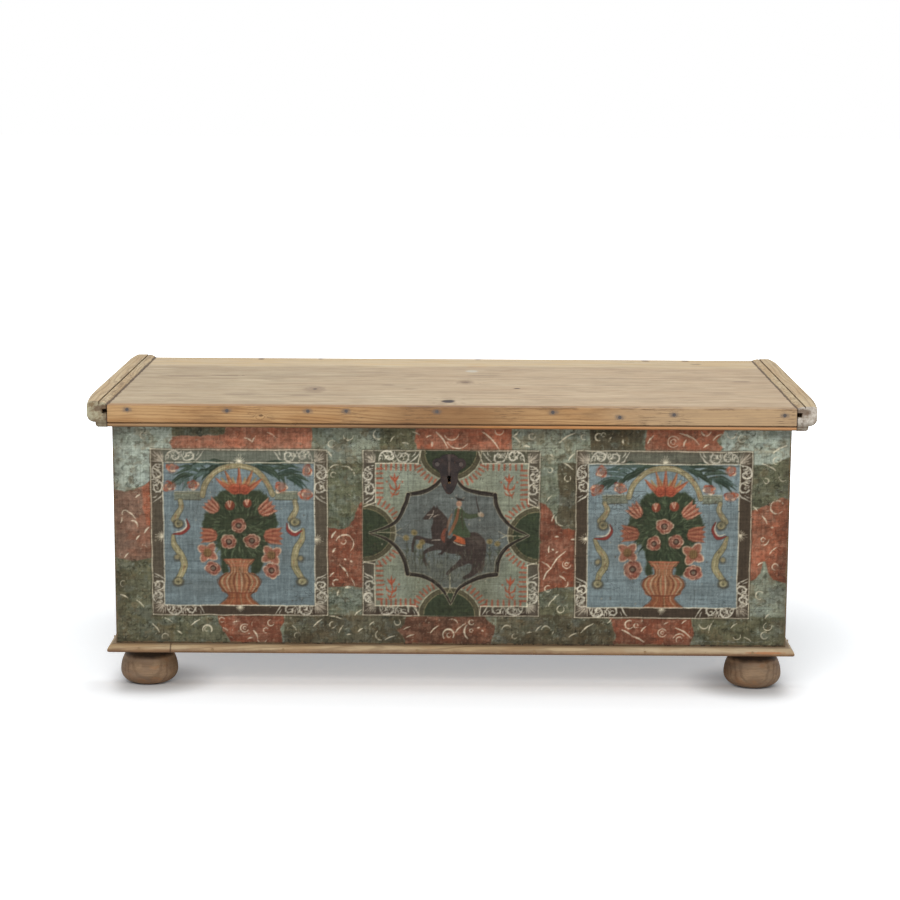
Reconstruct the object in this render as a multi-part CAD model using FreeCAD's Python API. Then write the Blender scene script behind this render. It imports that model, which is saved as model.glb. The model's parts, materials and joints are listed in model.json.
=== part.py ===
import FreeCAD, Part
import math
import os

from FreeCAD import Vector

# A painted blanket chest on bun feet: a dovetailed softwood carcass, a boarded lid between two moulded
# cleats, wrought strap hinges, an iron lock and a drop handle on each end. Millimetres. X runs to the
# right along the front, the front faces -Y, Z is up, and the origin is on the floor under the middle of
# the lid.

# Whole chest
lid_length = 1421.0          # over both end cleats
lid_depth = 700.0            # front strip to rear edge
panel_height = 449.0         # carcass walls, from the bottom boards to the rim
foot_height = 75.0

# Carcass boards
front_thickness = 24.0
back_thickness = 22.0
end_thickness = 24.0
bottom_thickness = 16.0
board_gap = 0.3              # shrinkage gap between neighbouring bottom boards
bottom_joint_shares = (0.35, 0.68)

# Dovetails at the four upright corners
tail_count = 5
pin_narrow = 17.0            # pin width where it shows at the corner's edge
pin_wide = 29.0              # pin width at the tails' shoulder line

# Plinth moulding
plinth_projection = 16.5
plinth_height = 16.0
plinth_nose_radius = 4.5
plinth_top_flat = 2.0
plinth_patch_length = 124.0  # short length let in at the front left corner
plinth_joint_gap = 0.4

# Turned bun feet
foot_radius = 56.5           # at the fattest part
foot_belly_radius = 24.0     # rounding from the belly down to the flat sole
foot_neck_radius = 40.0
foot_neck_height = 9.0
foot_inset_side = 55.5       # foot centre from the carcass end
foot_inset_front = 62.0      # foot centre from the carcass front and back
tenon_radius = 16.0
tenon_clearance = 0.1
wedge_thickness = 3.5
wedge_depth = 11.0
wedge_slot_clearance = 0.1

# Lid boards
lid_thickness = 26.0
lid_joint_shares = (0.37, 0.77)
tongue_length = 10.0
tongue_thickness = 8.6
tongue_share = 0.56          # height of the tongue's middle in the board's thickness
groove_clearance = 0.3

# Moulded strip along the lid's front edge
strip_thickness = 22.0
strip_height = 42.0
strip_bead_radius = 4.3
strip_quirk_width = 1.8
strip_quirk_depth = 3.0
strip_arris_radius = 1.6
strip_end_gap = 0.3
strip_clearance = 4.0        # strip to the carcass front

# End cleats of the lid
cleat_width = 50.0
cleat_drop = 16.0            # how far a cleat hangs below the rim
cleat_rise_left = 7.5        # how far each cleat stands above the lid boards
cleat_rise_right = 4.5
cleat_clearance = 5.0        # cleat to the carcass end
cleat_bead_width = 15.0
cleat_bead_share = 0.84      # height of the bead's crest, beside the quirk, in the cleat's rise
cleat_bead_bend_shares = (0.42, 0.72)  # where the bead's curve passes, in its width and height
cleat_quirk_width = 2.0
cleat_quirk_depth = 2.2      # below the bead's crest
cleat_end_radius_left = 6.0  # rounding over the top edge of a cleat's ends, more worn on the left
cleat_end_radius_right = 2.5
cleat_top_radius = 9.0
cleat_ovolo_radius = 14.5    # the large rounding under the outer face
cleat_fillet_height = 2.5
cleat_fillet_width = 1.5
cleat_foot_height = 7.0      # the small rounding at the bottom
cleat_foot_width = 5.0
front_taper_length = 150.0   # the cleat's outer face curves in towards its ends
front_taper_depth = 11.0
back_taper_length = 70.0
back_taper_depth = 6.0

# Strap hinges
knuckle_radius = 7.0
knuckle_length = 12.0
knuckle_gap = 0.4            # between knuckles, and round them
overhang_margin = 0.6        # lid edge past the knuckles
hinge_pin_radius = 3.5
hinge_bore_clearance = 0.08
pin_head_radius = 5.2
pin_head_thickness = 1.8
strap_thickness = 3.0
strap_recess_clearance = 0.3
strap_share = 0.743          # hinge strap's length along the lid's depth
strap_tip_width = 20.0
strap_finial_radius = 15.0
strap_point_length = 26.0
leaf_thickness = 3.0
leaf_length = 118.0
leaf_tip_length = 22.0
hinge_share = 0.64           # hinge place along half the lid

# Lock
lock_offset = -4.5           # lock and escutcheon, from the middle of the chest
key_drop = 115.0             # key axis below the rim
keyhole_radius = 4.0
keyhole_slot_width = 5.4
keyhole_slot_length = 12.0
lock_plate_half_width = 72.0
lock_plate_thickness = 2.5
lock_plate_top_gap = 2.0     # plate's upper edge below the rim
lock_plate_tail = 33.0       # plate below the key axis
lock_nail_inset = 8.0
bolt_rise = 58.0             # bolt above the key axis
bolt_height = 14.0
bolt_thickness = 8.0
bolt_throw = 14.0
bolt_tail_length = 56.0
bolt_running_gap = 0.3
talon_width = 14.0
talon_thickness = 5.0
talon_reach = 28.0           # talon's lower end above the key axis
talon_notch_radius = 4.0
guide_wall = 4.5
guide_width = 10.0
guide_spacing = 64.0
guide_to_staple_gap = 7.0
cover_half_width = 28.0
cover_sheet = 2.0
cover_depth = 25.5
cover_above_key = 22.0
cover_below_key = 30.0
cover_flange = 11.0
drill_pin_radius = 2.5
drill_pin_tip_gap = 4.0      # tip of the drill pin off the lock plate
spring_sheet = 1.2
spring_width = 8.0
spring_span = 46.0
spring_sag = 5.0
spring_seat_height = 26.0    # spring's foot above the bolt's top
spring_foot = 8.0

# Staple under the lid, which the bolt enters
staple_thickness = 6.0
staple_bar = 4.5
staple_clearance = 1.5       # round the bolt
staple_headroom = 4.0        # extra height of the loop over the bolt
staple_swing_gap = 1.2       # least gap to the lock plate as the opening lid swings the staple
staple_plate_length = 46.0
staple_plate_width = 34.0
staple_plate_thickness = 3.0

# Escutcheon on the front
escutcheon_width = 64.0
escutcheon_height = 78.0
escutcheon_above_key = 45.0
escutcheon_sheet = 1.6
escutcheon_relief = 1.2
escutcheon_relief_share = 0.7    # embossed middle, as a share of the whole plate
escutcheon_rib_radius = 2.6
escutcheon_nail_spread = 46.0
escutcheon_nail_drop = 19.0

# Drop handles on the carcass ends
handle_height_share = 0.62   # handle axis up the carcass wall
handle_plate_length = 172.0
handle_plate_width = 46.0
handle_plate_thickness = 2.5
handle_post_spread = 124.0
handle_eye_radius = 8.5
handle_eye_width = 10.0
handle_axis_standoff = 10.5  # bail axis off the handle plate
handle_shank_radius = 4.0
handle_rove_radius = 9.0
handle_rove_thickness = 1.5
shank_clearance = 0.1
bail_radius = 4.5
bail_bore_clearance = 0.08
bail_drop = 52.0
bail_journal_overhang = 4.0
bail_side_gap = 1.2          # bail shoulder to the eye
bail_shoulder_radius = 9.0
bail_corner_radius = 20.0
bail_swell_radius = 7.0
bail_swell_length = 44.0

# Hand-made nails: head radius, head thickness, shank radius, length under the head
wood_nail = (3.4, 1.6, 1.7, 42.0)
cleat_nail = (3.4, 1.6, 1.9, 82.0)
trim_nail = (2.6, 1.4, 1.2, 30.0)
iron_nail = (4.2, 1.8, 1.6, 17.0)
rivet = (3.2, 1.5, 1.6, 2.2)
nail_clearance = 0.08
nail_proud = 0.4             # heads in the plinth and bottom stand this far above the wood
# Nails in the lid's front strip: share along half the lid, and drop below the lid's top
strip_nails = ((-0.942, 8.0), (-0.652, 9.0), (-0.417, 9.0), (-0.306, 8.5), (-0.043, 8.5),
               (0.293, 8.5), (0.487, 17.5), (0.644, 12.0), (0.965, 12.0))
plinth_nail_shares = (-0.93, -0.71, -0.50, -0.10, 0.25, 0.58, 0.90)
plinth_end_nail_shares = (0.12, 0.45, 0.82)
bottom_nail_shares = (-0.82, -0.42, 0.02, 0.40, 0.80)
bottom_end_nail_shares = (0.20, 0.52, 0.76)
cleat_nail_shares = (0.235, 0.43, 0.65, 0.87)
strap_nail_shares = (0.14, 0.34, 0.56, 0.78)
leaf_nail_shares = (0.28, 0.50, 0.72)

overrun = 4.0                # how far a cutting tool runs past the wood
same_place = 1e-6            # two points this close are one

# Places worked out from the sizes above
lid_half = lid_length / 2
seam_x = lid_half - cleat_width
carcass_half = seam_x - cleat_clearance
lid_front = -lid_depth / 2
lid_back = lid_depth / 2
back_overhang = 2 * knuckle_radius + knuckle_gap + overhang_margin
carcass_front = lid_front + strip_thickness + strip_clearance
carcass_back = lid_back - back_overhang
inner_front = carcass_front + front_thickness
inner_back = carcass_back - back_thickness
inner_half = carcass_half - end_thickness
bottom_top = foot_height + bottom_thickness
rim = bottom_top + panel_height
lid_top = rim + lid_thickness
board_front = lid_front + strip_thickness
tongue_middle = rim + tongue_share * lid_thickness
hinge_y = carcass_back + knuckle_radius + knuckle_gap
hinge_z = rim - knuckle_radius - knuckle_gap
hinge_x = hinge_share * lid_half
strap_length = strap_share * lid_depth
knuckle_relief = knuckle_radius + 2 * knuckle_gap
hinge_width = 3 * knuckle_length + 2 * knuckle_gap
key_z = rim - key_drop
bolt_z = key_z + bolt_rise
plate_back = inner_front + lock_plate_thickness
staple_low = bolt_z - bolt_height / 2 - staple_clearance - staple_bar
staple_reach = hinge_y - plate_back
staple_swing = math.hypot(staple_reach, hinge_z - staple_low) - staple_reach
staple_front = plate_back + staple_swing + staple_swing_gap
bolt_front = staple_front + staple_bar + staple_clearance
bolt_back = bolt_front + bolt_thickness
guide_back = bolt_back + bolt_running_gap + guide_wall
guide_right = lock_offset + guide_spacing / 2
guide_left = lock_offset - guide_spacing / 2
staple_left = guide_right + guide_width / 2 + guide_to_staple_gap
bolt_tip = staple_left - staple_clearance
bolt_end = lock_offset - bolt_tail_length
cover_back = plate_back + cover_depth
handle_z = bottom_top + handle_height_share * panel_height
handle_x = carcass_half + handle_plate_thickness + handle_axis_standoff
handle_y = (carcass_front + carcass_back) / 2
foot_x = carcass_half - foot_inset_side
foot_front = carcass_front + foot_inset_front
foot_back = carcass_back - foot_inset_front

X = Vector(1, 0, 0)
Y = Vector(0, 1, 0)
Z = Vector(0, 0, 1)


# Small makers of solids

def box(low, high):
    size = Vector(*high) - Vector(*low)
    return Part.makeBox(size.x, size.y, size.z, Vector(*low))


def rod(radius, start, end):
    run = end - start
    return Part.makeCylinder(radius, run.Length, start, run)


def outline(start, *steps):
    """A closed wire. Each step is an end point, or a pair of a point on the arc and its end point."""
    edges = []
    here = start
    for step in steps:
        if isinstance(step, tuple):
            edges.append(Part.Arc(here, step[0], step[1]).toShape())
            here = step[1]
        else:
            edges.append(Part.LineSegment(here, step).toShape())
            here = step
    if not here.isEqual(start, same_place):
        edges.append(Part.LineSegment(here, start).toShape())
    return Part.Wire(edges)


def slab(wire, run):
    return Part.Face(wire).extrude(run)


def plan_slab(points, low, high):
    """An upright block over a plan outline of (x, y) points."""
    corners = [Vector(x, y, low) for x, y in points]
    return slab(outline(*corners), Z * (high - low))


def on_circle(centre, radius, degrees, across, up):
    turn = math.radians(degrees)
    return centre + across * (radius * math.cos(turn)) + up * (radius * math.sin(turn))


def joined(shapes):
    body = shapes[0].fuse(shapes[1:]) if len(shapes) > 1 else shapes[0]
    return body.removeSplitter()


def other_side(shape):
    """The same shape across the chest's middle plane."""
    return shape.mirror(Vector(0, 0, 0), X)


def write(name, shapes):
    shapes = shapes if isinstance(shapes, list) else [shapes]
    solids = [solid for shape in shapes for solid in shape.Solids]
    whole = solids[0] if len(solids) == 1 else Part.makeCompound(solids)
    whole.exportStep("parts/%s.step" % name)
    state = "ok" if whole.isValid() else "BAD"
    print("%-24s %2d solid(s) %12.0f mm3 %s" % (name, len(solids), whole.Volume, state))


# Nails

def nail(place, kind, grow=0.0):
    """A nail whose head lies at the point, driven along the direction. Growing it gives its hole."""
    point, drive = place
    head_radius, head_thickness, shank_radius, length = kind
    under_head = point + drive * (head_thickness + grow)
    head = rod(head_radius + grow, point, under_head)
    shank = rod(shank_radius + grow, under_head, under_head + drive * (length + grow))
    return joined([head, shank])


def nails(places, kind):
    return [nail(place, kind) for place in places]


def drilled(shape, places, kind):
    for place in places:
        hole = nail(place, kind, nail_clearance)
        if hole.BoundBox.intersect(shape.BoundBox):
            shape = shape.cut(hole)
    return shape


# Places of the nails

def strip_nail_places():
    return [(Vector(share * seam_x, lid_front, lid_top - drop), Y) for share, drop in strip_nails]


def plinth_nail_places():
    z = foot_height + plinth_height / 2
    face = carcass_front - plinth_projection - nail_proud
    places = [(Vector(share * carcass_half, face, z), Y) for share in plinth_nail_shares]
    for share in plinth_end_nail_shares:
        y = carcass_front + share * (carcass_back - carcass_front)
        side = carcass_half + plinth_projection + nail_proud
        places.append((Vector(-side, y, z), X))
        places.append((Vector(side, y, z), -X))
    return places


def bottom_nail_places():
    z = foot_height - nail_proud
    places = []
    for share in bottom_nail_shares:
        places.append((Vector(share * carcass_half, carcass_front + front_thickness / 2, z), Z))
        places.append((Vector(share * carcass_half, carcass_back - back_thickness / 2, z), Z))
    middle = carcass_half - end_thickness / 2
    for share in bottom_end_nail_shares:
        y = carcass_front + share * (carcass_back - carcass_front)
        places.append((Vector(-middle, y, z), Z))
        places.append((Vector(middle, y, z), Z))
    return places


def cleat_nail_places():
    places = []
    for share in cleat_nail_shares:
        y = lid_front + share * lid_depth
        places.append((Vector(-lid_half, y, tongue_middle), X))
        places.append((Vector(lid_half, y, tongue_middle), -X))
    return places


def strap_nail_places():
    z = rim - strap_thickness - iron_nail[1]
    inner_end = hinge_y - strap_length
    return [(Vector(side * hinge_x, inner_end + share * (inner_back - inner_end), z), Z)
            for side in (-1, 1) for share in strap_nail_shares]


def leaf_nail_places():
    face = carcass_back + leaf_thickness + iron_nail[1]
    return [(Vector(side * hinge_x, face, hinge_z - share * leaf_length), -Y)
            for side in (-1, 1) for share in leaf_nail_shares]


def lock_nail_places():
    across = lock_plate_half_width - lock_nail_inset
    low = key_z - lock_plate_tail + lock_nail_inset
    high = rim - lock_plate_top_gap - lock_nail_inset
    y = plate_back + iron_nail[1]
    return [(Vector(lock_offset + side * across, y, z), -Y) for side in (-1, 1) for z in (low, high)]


def lock_rivet_places():
    across = cover_half_width + cover_flange / 2
    y = plate_back + cover_sheet + rivet[1]
    low = key_z - cover_below_key + cover_flange / 2
    high = key_z + cover_above_key - cover_flange / 2
    return [(Vector(lock_offset + side * across, y, z), -Y) for side in (-1, 1) for z in (low, high)]


def escutcheon_nail_places():
    face = carcass_front - escutcheon_sheet - iron_nail[1]
    z = key_z + escutcheon_above_key - escutcheon_nail_drop
    return [(Vector(lock_offset + side * escutcheon_nail_spread / 2, face, z), Y) for side in (-1, 1)]


def staple_nail_places():
    z = rim - staple_plate_thickness - iron_nail[1]
    y = staple_front + staple_plate_length * 3 / 4
    middle = staple_left + staple_thickness / 2
    return [(Vector(middle + side * staple_plate_width / 4, y, z), Z) for side in (-1, 1)]


def handle_nail_places():
    across = (handle_plate_length / 2 + handle_post_spread / 2 + handle_eye_radius) / 2
    face = carcass_half + handle_plate_thickness + iron_nail[1]
    return [(Vector(side * face, handle_y + end * across, handle_z), -X * side)
            for side in (-1, 1) for end in (-1, 1)]


def handle_shank_holes():
    outside = carcass_half + handle_plate_thickness + overrun
    return [rod(handle_shank_radius + shank_clearance,
                Vector(side * (inner_half - overrun), handle_y + end * handle_post_spread / 2, handle_z),
                Vector(side * outside, handle_y + end * handle_post_spread / 2, handle_z))
            for side in (-1, 1) for end in (-1, 1)]


# Carcass walls, dovetailed at the corners

def corner_pins(side, low_y, high_y):
    """The end board's pins at one upright corner, seen from the front as wedges."""
    outer = side * carcass_half
    inner = side * inner_half
    pitch = panel_height / tail_count
    wall = box((min(outer, inner), low_y, bottom_top), (max(outer, inner), high_y, rim))
    pins = []
    for number in range(tail_count + 1):
        z = bottom_top + number * pitch
        wedge = outline(Vector(outer, low_y, z - pin_narrow / 2), Vector(outer, low_y, z + pin_narrow / 2),
                        Vector(inner, low_y, z + pin_wide / 2), Vector(inner, low_y, z - pin_wide / 2))
        pins.append(slab(wedge, Y * (high_y - low_y)).common(wall))
    return pins


def long_wall(low_y, high_y):
    wall = box((-carcass_half, low_y, bottom_top), (carcass_half, high_y, rim))
    return wall.cut(corner_pins(-1, low_y, high_y) + corner_pins(1, low_y, high_y))


def keyhole(low_y, high_y):
    round_hole = rod(keyhole_radius, Vector(lock_offset, low_y, key_z), Vector(lock_offset, high_y, key_z))
    slot = box((lock_offset - keyhole_slot_width / 2, low_y, key_z - keyhole_slot_length),
               (lock_offset + keyhole_slot_width / 2, high_y, key_z))
    return round_hole.fuse(slot)


def front_panel():
    wall = long_wall(carcass_front, inner_front)
    wall = wall.cut(keyhole(carcass_front - overrun, inner_front + overrun))
    wall = drilled(wall, escutcheon_nail_places() + lock_nail_places(), iron_nail)
    wall = drilled(wall, plinth_nail_places(), trim_nail)
    return drilled(wall, bottom_nail_places(), wood_nail)


def back_panel():
    wall = long_wall(inner_back, carcass_back)
    depth = strap_thickness + strap_recess_clearance
    half = hinge_width / 2 + strap_recess_clearance
    for side in (-1, 1):
        middle = side * hinge_x
        wall = wall.cut(box((middle - half, inner_back - overrun, rim - depth),
                            (middle + half, carcass_back + overrun, rim + overrun)))
    wall = drilled(wall, leaf_nail_places(), iron_nail)
    return drilled(wall, bottom_nail_places(), wood_nail)


def end_panel(side):
    low, high = sorted((side * carcass_half, side * inner_half))
    wall = box((low, inner_front, bottom_top), (high, inner_back, rim))
    pins = corner_pins(side, carcass_front, inner_front) + corner_pins(side, inner_back, carcass_back)
    wall = joined([wall] + pins).cut(handle_shank_holes())
    wall = drilled(wall, handle_nail_places(), iron_nail)
    wall = drilled(wall, plinth_nail_places(), trim_nail)
    return drilled(wall, bottom_nail_places(), wood_nail)


# Bottom boards, plinth and feet

def foot_places():
    return {"front_left": (-foot_x, foot_front), "front_right": (foot_x, foot_front),
            "back_left": (-foot_x, foot_back), "back_right": (foot_x, foot_back)}


def bottom_board(start_share, end_share):
    depth = carcass_back - carcass_front
    low = carcass_front + start_share * depth + (board_gap if start_share else 0)
    high = carcass_front + end_share * depth
    board = box((-carcass_half, low, foot_height), (carcass_half, high, bottom_top))
    for x, y in foot_places().values():
        hole = rod(tenon_radius + tenon_clearance, Vector(x, y, foot_height - overrun),
                   Vector(x, y, bottom_top + overrun))
        board = board.cut(hole)
    board = drilled(board, bottom_nail_places(), wood_nail)
    return drilled(board, plinth_nail_places(), trim_nail)


def plinth_section(at):
    """The moulding's end outline. The function takes a reach out from the carcass and a height."""
    nose = plinth_projection - plinth_nose_radius
    lower = on_circle(at(nose, plinth_nose_radius), plinth_nose_radius, -45, at(1, 0) - at(0, 0), Z)
    crown_reach = plinth_top_flat + (plinth_projection - plinth_top_flat) * math.cos(math.radians(45))
    crown_height = plinth_nose_radius + (plinth_height - plinth_nose_radius) * math.sin(math.radians(45))
    return outline(at(0, 0), at(nose, 0),
                   (lower, at(plinth_projection, plinth_nose_radius)),
                   (at(crown_reach, crown_height), at(plinth_top_flat, plinth_height)),
                   at(0, plinth_height))


def plinth_run(plan):
    """What stays of a straight run of moulding: a block over a plan outline, mitred at its ends."""
    return plan_slab(plan, foot_height - overrun, bottom_top + overrun)


def plinth_front(low_x, high_x):
    start = -carcass_half - plinth_projection

    def at(reach, height):
        return Vector(start, carcass_front - reach, foot_height + height)

    bar = slab(plinth_section(at), X * (-2 * start))
    reach = plinth_projection
    plan = [(max(low_x, -carcass_half), carcass_front), (min(high_x, carcass_half), carcass_front),
            (min(high_x, carcass_half + reach), carcass_front - reach),
            (max(low_x, -carcass_half - reach), carcass_front - reach)]
    return drilled(bar.common(plinth_run(plan)), plinth_nail_places(), trim_nail)


def plinth_side():
    """The right end's moulding, square at the back and mitred at the front."""
    def at(reach, height):
        return Vector(carcass_half + reach, carcass_front - plinth_projection, foot_height + height)

    bar = slab(plinth_section(at), Y * (carcass_back - carcass_front + plinth_projection))
    outer = carcass_half + plinth_projection
    plan = [(carcass_half, carcass_front), (outer, carcass_front - plinth_projection),
            (outer, carcass_back), (carcass_half, carcass_back)]
    return drilled(bar.common(plinth_run(plan)), plinth_nail_places(), trim_nail)


def bun_foot(x, y):
    def at(radius, height):
        return Vector(x + radius, y, height)

    sole = foot_radius - foot_belly_radius
    neck_base = foot_height - foot_neck_height
    rise = neck_base - foot_belly_radius
    waist = foot_radius - foot_neck_radius
    crown = (waist * waist + rise * rise) / (2 * waist)
    crown_centre = at(foot_radius - crown, foot_belly_radius)
    half_turn = math.degrees(math.asin(rise / crown)) / 2
    belly_low = on_circle(at(sole, foot_belly_radius), foot_belly_radius, -45, X, Z)
    profile = outline(at(0, 0), at(sole, 0),
                      (belly_low, at(foot_radius, foot_belly_radius)),
                      (on_circle(crown_centre, crown, half_turn, X, Z), at(foot_neck_radius, neck_base)),
                      at(foot_neck_radius, foot_height), at(tenon_radius, foot_height),
                      at(tenon_radius, bottom_top), at(0, bottom_top))
    turned = Part.Face(profile).revolve(Vector(x, y, 0), Z, 360)
    return turned.cut(wedge(x, y, wedge_slot_clearance))


def wedge(x, y, grow=0.0):
    """The hardwood wedge that spreads a foot's tenon, seen from inside the chest."""
    half = wedge_thickness / 2
    reach = math.sqrt(tenon_radius * tenon_radius - half * half) - tenon_clearance
    tip = Vector(x - reach, y, bottom_top - wedge_depth - grow)
    wire = outline(tip, Vector(x - reach, y - half - grow, bottom_top),
                   Vector(x - reach, y + half + grow, bottom_top))
    return slab(wire, X * (2 * reach))


# Lid

def lid_board(start_share, end_share):
    low = board_front if start_share == 0 else lid_front + start_share * lid_depth
    high = lid_front + end_share * lid_depth
    board = box((-seam_x, low, rim), (seam_x, high, lid_top))
    reach = seam_x + tongue_length
    tongue = box((-reach, low, tongue_middle - tongue_thickness / 2),
                 (reach, high, tongue_middle + tongue_thickness / 2))
    board = joined([board, tongue])
    board = drilled(board, strip_nail_places(), wood_nail)
    board = drilled(board, cleat_nail_places(), cleat_nail)
    return drilled(board, strap_nail_places() + staple_nail_places(), iron_nail)


def lid_front_strip():
    """Flat face above, a quirk, and a bead along the bottom edge."""
    low = lid_top - strip_height
    start = -seam_x + strip_end_gap

    def at(depth, height):
        return Vector(start, lid_front + depth, low + height)

    bead = strip_bead_radius
    bead_end = on_circle(at(bead, bead), bead, 180 - 70, Y, Z)
    quirk_base = bead_end.z - low
    quirk_top = quirk_base + strip_quirk_width
    arris = strip_arris_radius
    arris_middle = on_circle(at(arris, strip_height - arris), arris, 180 - 45, Y, Z)
    section = outline(at(strip_thickness, 0), at(bead, 0), (at(0, bead), bead_end),
                      at(strip_quirk_depth, quirk_base), at(strip_quirk_depth, quirk_top),
                      at(0, quirk_top), at(0, strip_height - arris),
                      (arris_middle, at(arris, strip_height)), at(strip_thickness, strip_height))
    return drilled(slab(section, X * (-2 * start)), strip_nail_places(), wood_nail)


def cleat_bar(rise):
    """The right cleat before its outer edge is worked: bead, shallow quirk, flat top, and the groove."""
    low = rim - cleat_drop

    def at(across, height):
        return Vector(seam_x + across, lid_front, low + height)

    level = cleat_drop + lid_thickness
    top = level + rise
    quirk_end = cleat_bead_width + cleat_quirk_width
    crest = cleat_bead_share * rise
    quirk_base = level + crest - cleat_quirk_depth
    bend_width, bend_height = cleat_bead_bend_shares
    bend = at(bend_width * cleat_bead_width, level + bend_height * crest)
    outer = cleat_width + overrun
    section = outline(at(0, 0), at(outer, 0), at(outer, top), at(quirk_end, top),
                      at(quirk_end, quirk_base), at(cleat_bead_width, quirk_base),
                      at(cleat_bead_width, level + crest), (bend, at(0, level)))
    bar = slab(section, Y * lid_depth)
    half = tongue_thickness / 2 + groove_clearance
    groove = box((seam_x - overrun, lid_front - overrun, tongue_middle - half),
                 (seam_x + tongue_length + groove_clearance, lid_back + overrun, tongue_middle + half))
    return bar.cut(groove)


def cleat_edge_tool(rise, y):
    """What is planed away outside the cleat's outer edge, as a face across the cleat."""
    low = rim - cleat_drop
    top = cleat_drop + lid_thickness + rise

    def at(inward, height):
        return Vector(lid_half - inward, y, low + height)

    fillet_top = cleat_foot_height + cleat_fillet_height
    foot_start = cleat_ovolo_radius + cleat_fillet_width + cleat_foot_width
    foot_end = cleat_ovolo_radius + cleat_fillet_width
    foot_middle = at((foot_start + foot_end) / 2 - cleat_foot_width / 5,
                     cleat_foot_height / 2 - cleat_foot_height / 7)
    ovolo = on_circle(at(cleat_ovolo_radius, fillet_top + cleat_ovolo_radius), cleat_ovolo_radius, -45, X, Z)
    shoulder = on_circle(at(cleat_top_radius, top - cleat_top_radius), cleat_top_radius, 45, X, Z)
    return outline(at(foot_start, -overrun), at(foot_start, 0),
                   (foot_middle, at(foot_end, cleat_foot_height)),
                   at(foot_end, fillet_top), at(cleat_ovolo_radius, fillet_top),
                   (ovolo, at(0, fillet_top + cleat_ovolo_radius)), at(0, top - cleat_top_radius),
                   (shoulder, at(cleat_top_radius, top)), at(cleat_top_radius, top + overrun),
                   at(-2 * cleat_width, top + overrun), at(-2 * cleat_width, -overrun))


def curved_cut(face, length, depth, y, turn_sign):
    """The planing tool carried round the easy curve at one end of the cleat."""
    radius = (length * length + depth * depth) / (2 * depth)
    turn = math.degrees(math.asin(length / radius)) * (1 + overrun / length)
    return face.revolve(Vector(lid_half - radius, y, 0), Z, turn_sign * turn)


def end_rounding_tool(rise, radius, y, inward):
    """What is rounded off the top edge at one end of the cleat. Inward is 1 at the front, -1 at the back."""
    top = lid_top + rise

    def at(depth, drop):
        return Vector(seam_x - overrun, y + inward * depth, top - drop)

    middle = on_circle(at(radius, radius), radius, 90 + 45 * inward, Y, Z)
    section = outline(at(-overrun, -overrun), at(radius, -overrun), at(radius, 0),
                      (middle, at(0, radius)), at(-overrun, radius))
    return slab(section, X * (cleat_width + 2 * overrun))


def lid_cleat(rise, end_radius):
    front_y = lid_front + front_taper_length
    back_y = lid_back - back_taper_length
    straight = slab(cleat_edge_tool(rise, front_y), Y * (back_y - front_y))
    front_face = Part.Face(cleat_edge_tool(rise, front_y))
    front_curve = curved_cut(front_face, front_taper_length, front_taper_depth, front_y, -1)
    back_face = Part.Face(cleat_edge_tool(rise, back_y))
    back_curve = curved_cut(back_face, back_taper_length, back_taper_depth, back_y, 1)
    cleat = cleat_bar(rise)
    front_end = end_rounding_tool(rise, end_radius, lid_front, 1)
    back_end = end_rounding_tool(rise, end_radius, lid_back, -1)
    for tool in (straight, front_curve, back_curve, front_end, back_end):
        cleat = cleat.cut(tool)
    return cleat.removeSplitter()


# Hinges

def knuckle(middle_x, place):
    """One knuckle of a hinge: place 0 is the strap's, -1 and 1 are the leaf's."""
    low = middle_x + place * (knuckle_length + knuckle_gap) - knuckle_length / 2
    return rod(knuckle_radius, Vector(low, hinge_y, hinge_z), Vector(low + knuckle_length, hinge_y, hinge_z))


def hinge_bore(middle_x):
    reach = hinge_width / 2 + overrun
    return rod(hinge_pin_radius + hinge_bore_clearance, Vector(middle_x - reach, hinge_y, hinge_z),
               Vector(middle_x + reach, hinge_y, hinge_z))


def hinge_strap(side):
    middle = side * hinge_x
    low = rim - strap_thickness
    wide = hinge_width / 2
    narrow = strap_tip_width / 2
    finial_y = hinge_y - strap_length + strap_point_length
    plan = [(middle - wide, hinge_y - knuckle_relief), (middle + wide, hinge_y - knuckle_relief),
            (middle + wide, inner_back), (middle + narrow, finial_y), (middle - narrow, finial_y),
            (middle - wide, inner_back)]
    point = [(middle - narrow, finial_y), (middle + narrow, finial_y),
             (middle, finial_y - strap_point_length)]
    finial = rod(strap_finial_radius, Vector(middle, finial_y, low), Vector(middle, finial_y, rim))
    neck = box((middle - knuckle_length / 2, hinge_y - knuckle_relief, low),
               (middle + knuckle_length / 2, hinge_y, rim))
    iron = joined([plan_slab(plan, low, rim), plan_slab(point, low, rim), finial, neck, knuckle(middle, 0)])
    return drilled(iron.cut(hinge_bore(middle)), strap_nail_places(), iron_nail)


def hinge_leaf(side):
    middle = side * hinge_x
    back = carcass_back + leaf_thickness
    half = hinge_width / 2
    top = hinge_z - knuckle_relief
    tip = hinge_z - leaf_length

    def at(x, z):
        return Vector(middle + x, carcass_back, z)

    plate = slab(outline(at(-half, top), at(half, top), at(half, tip + leaf_tip_length), at(0, tip),
                         at(-half, tip + leaf_tip_length)), Y * leaf_thickness)
    parts = [plate]
    for place in (-1, 1):
        low = middle + place * (knuckle_length + knuckle_gap) - knuckle_length / 2
        parts.append(box((low, carcass_back, top), (low + knuckle_length, back, hinge_z)))
        parts.append(knuckle(middle, place))
    return drilled(joined(parts).cut(hinge_bore(middle)), leaf_nail_places(), iron_nail)


def hinge_pin(side):
    reach = hinge_width / 2 + knuckle_gap
    start = Vector(side * hinge_x - reach, hinge_y, hinge_z)
    end = Vector(side * hinge_x + reach, hinge_y, hinge_z)
    head = X * pin_head_thickness
    return joined([rod(hinge_pin_radius, start, end), rod(pin_head_radius, start - head, start),
                   rod(pin_head_radius, end, end + head)])


# Lock, on the inside of the front

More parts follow.
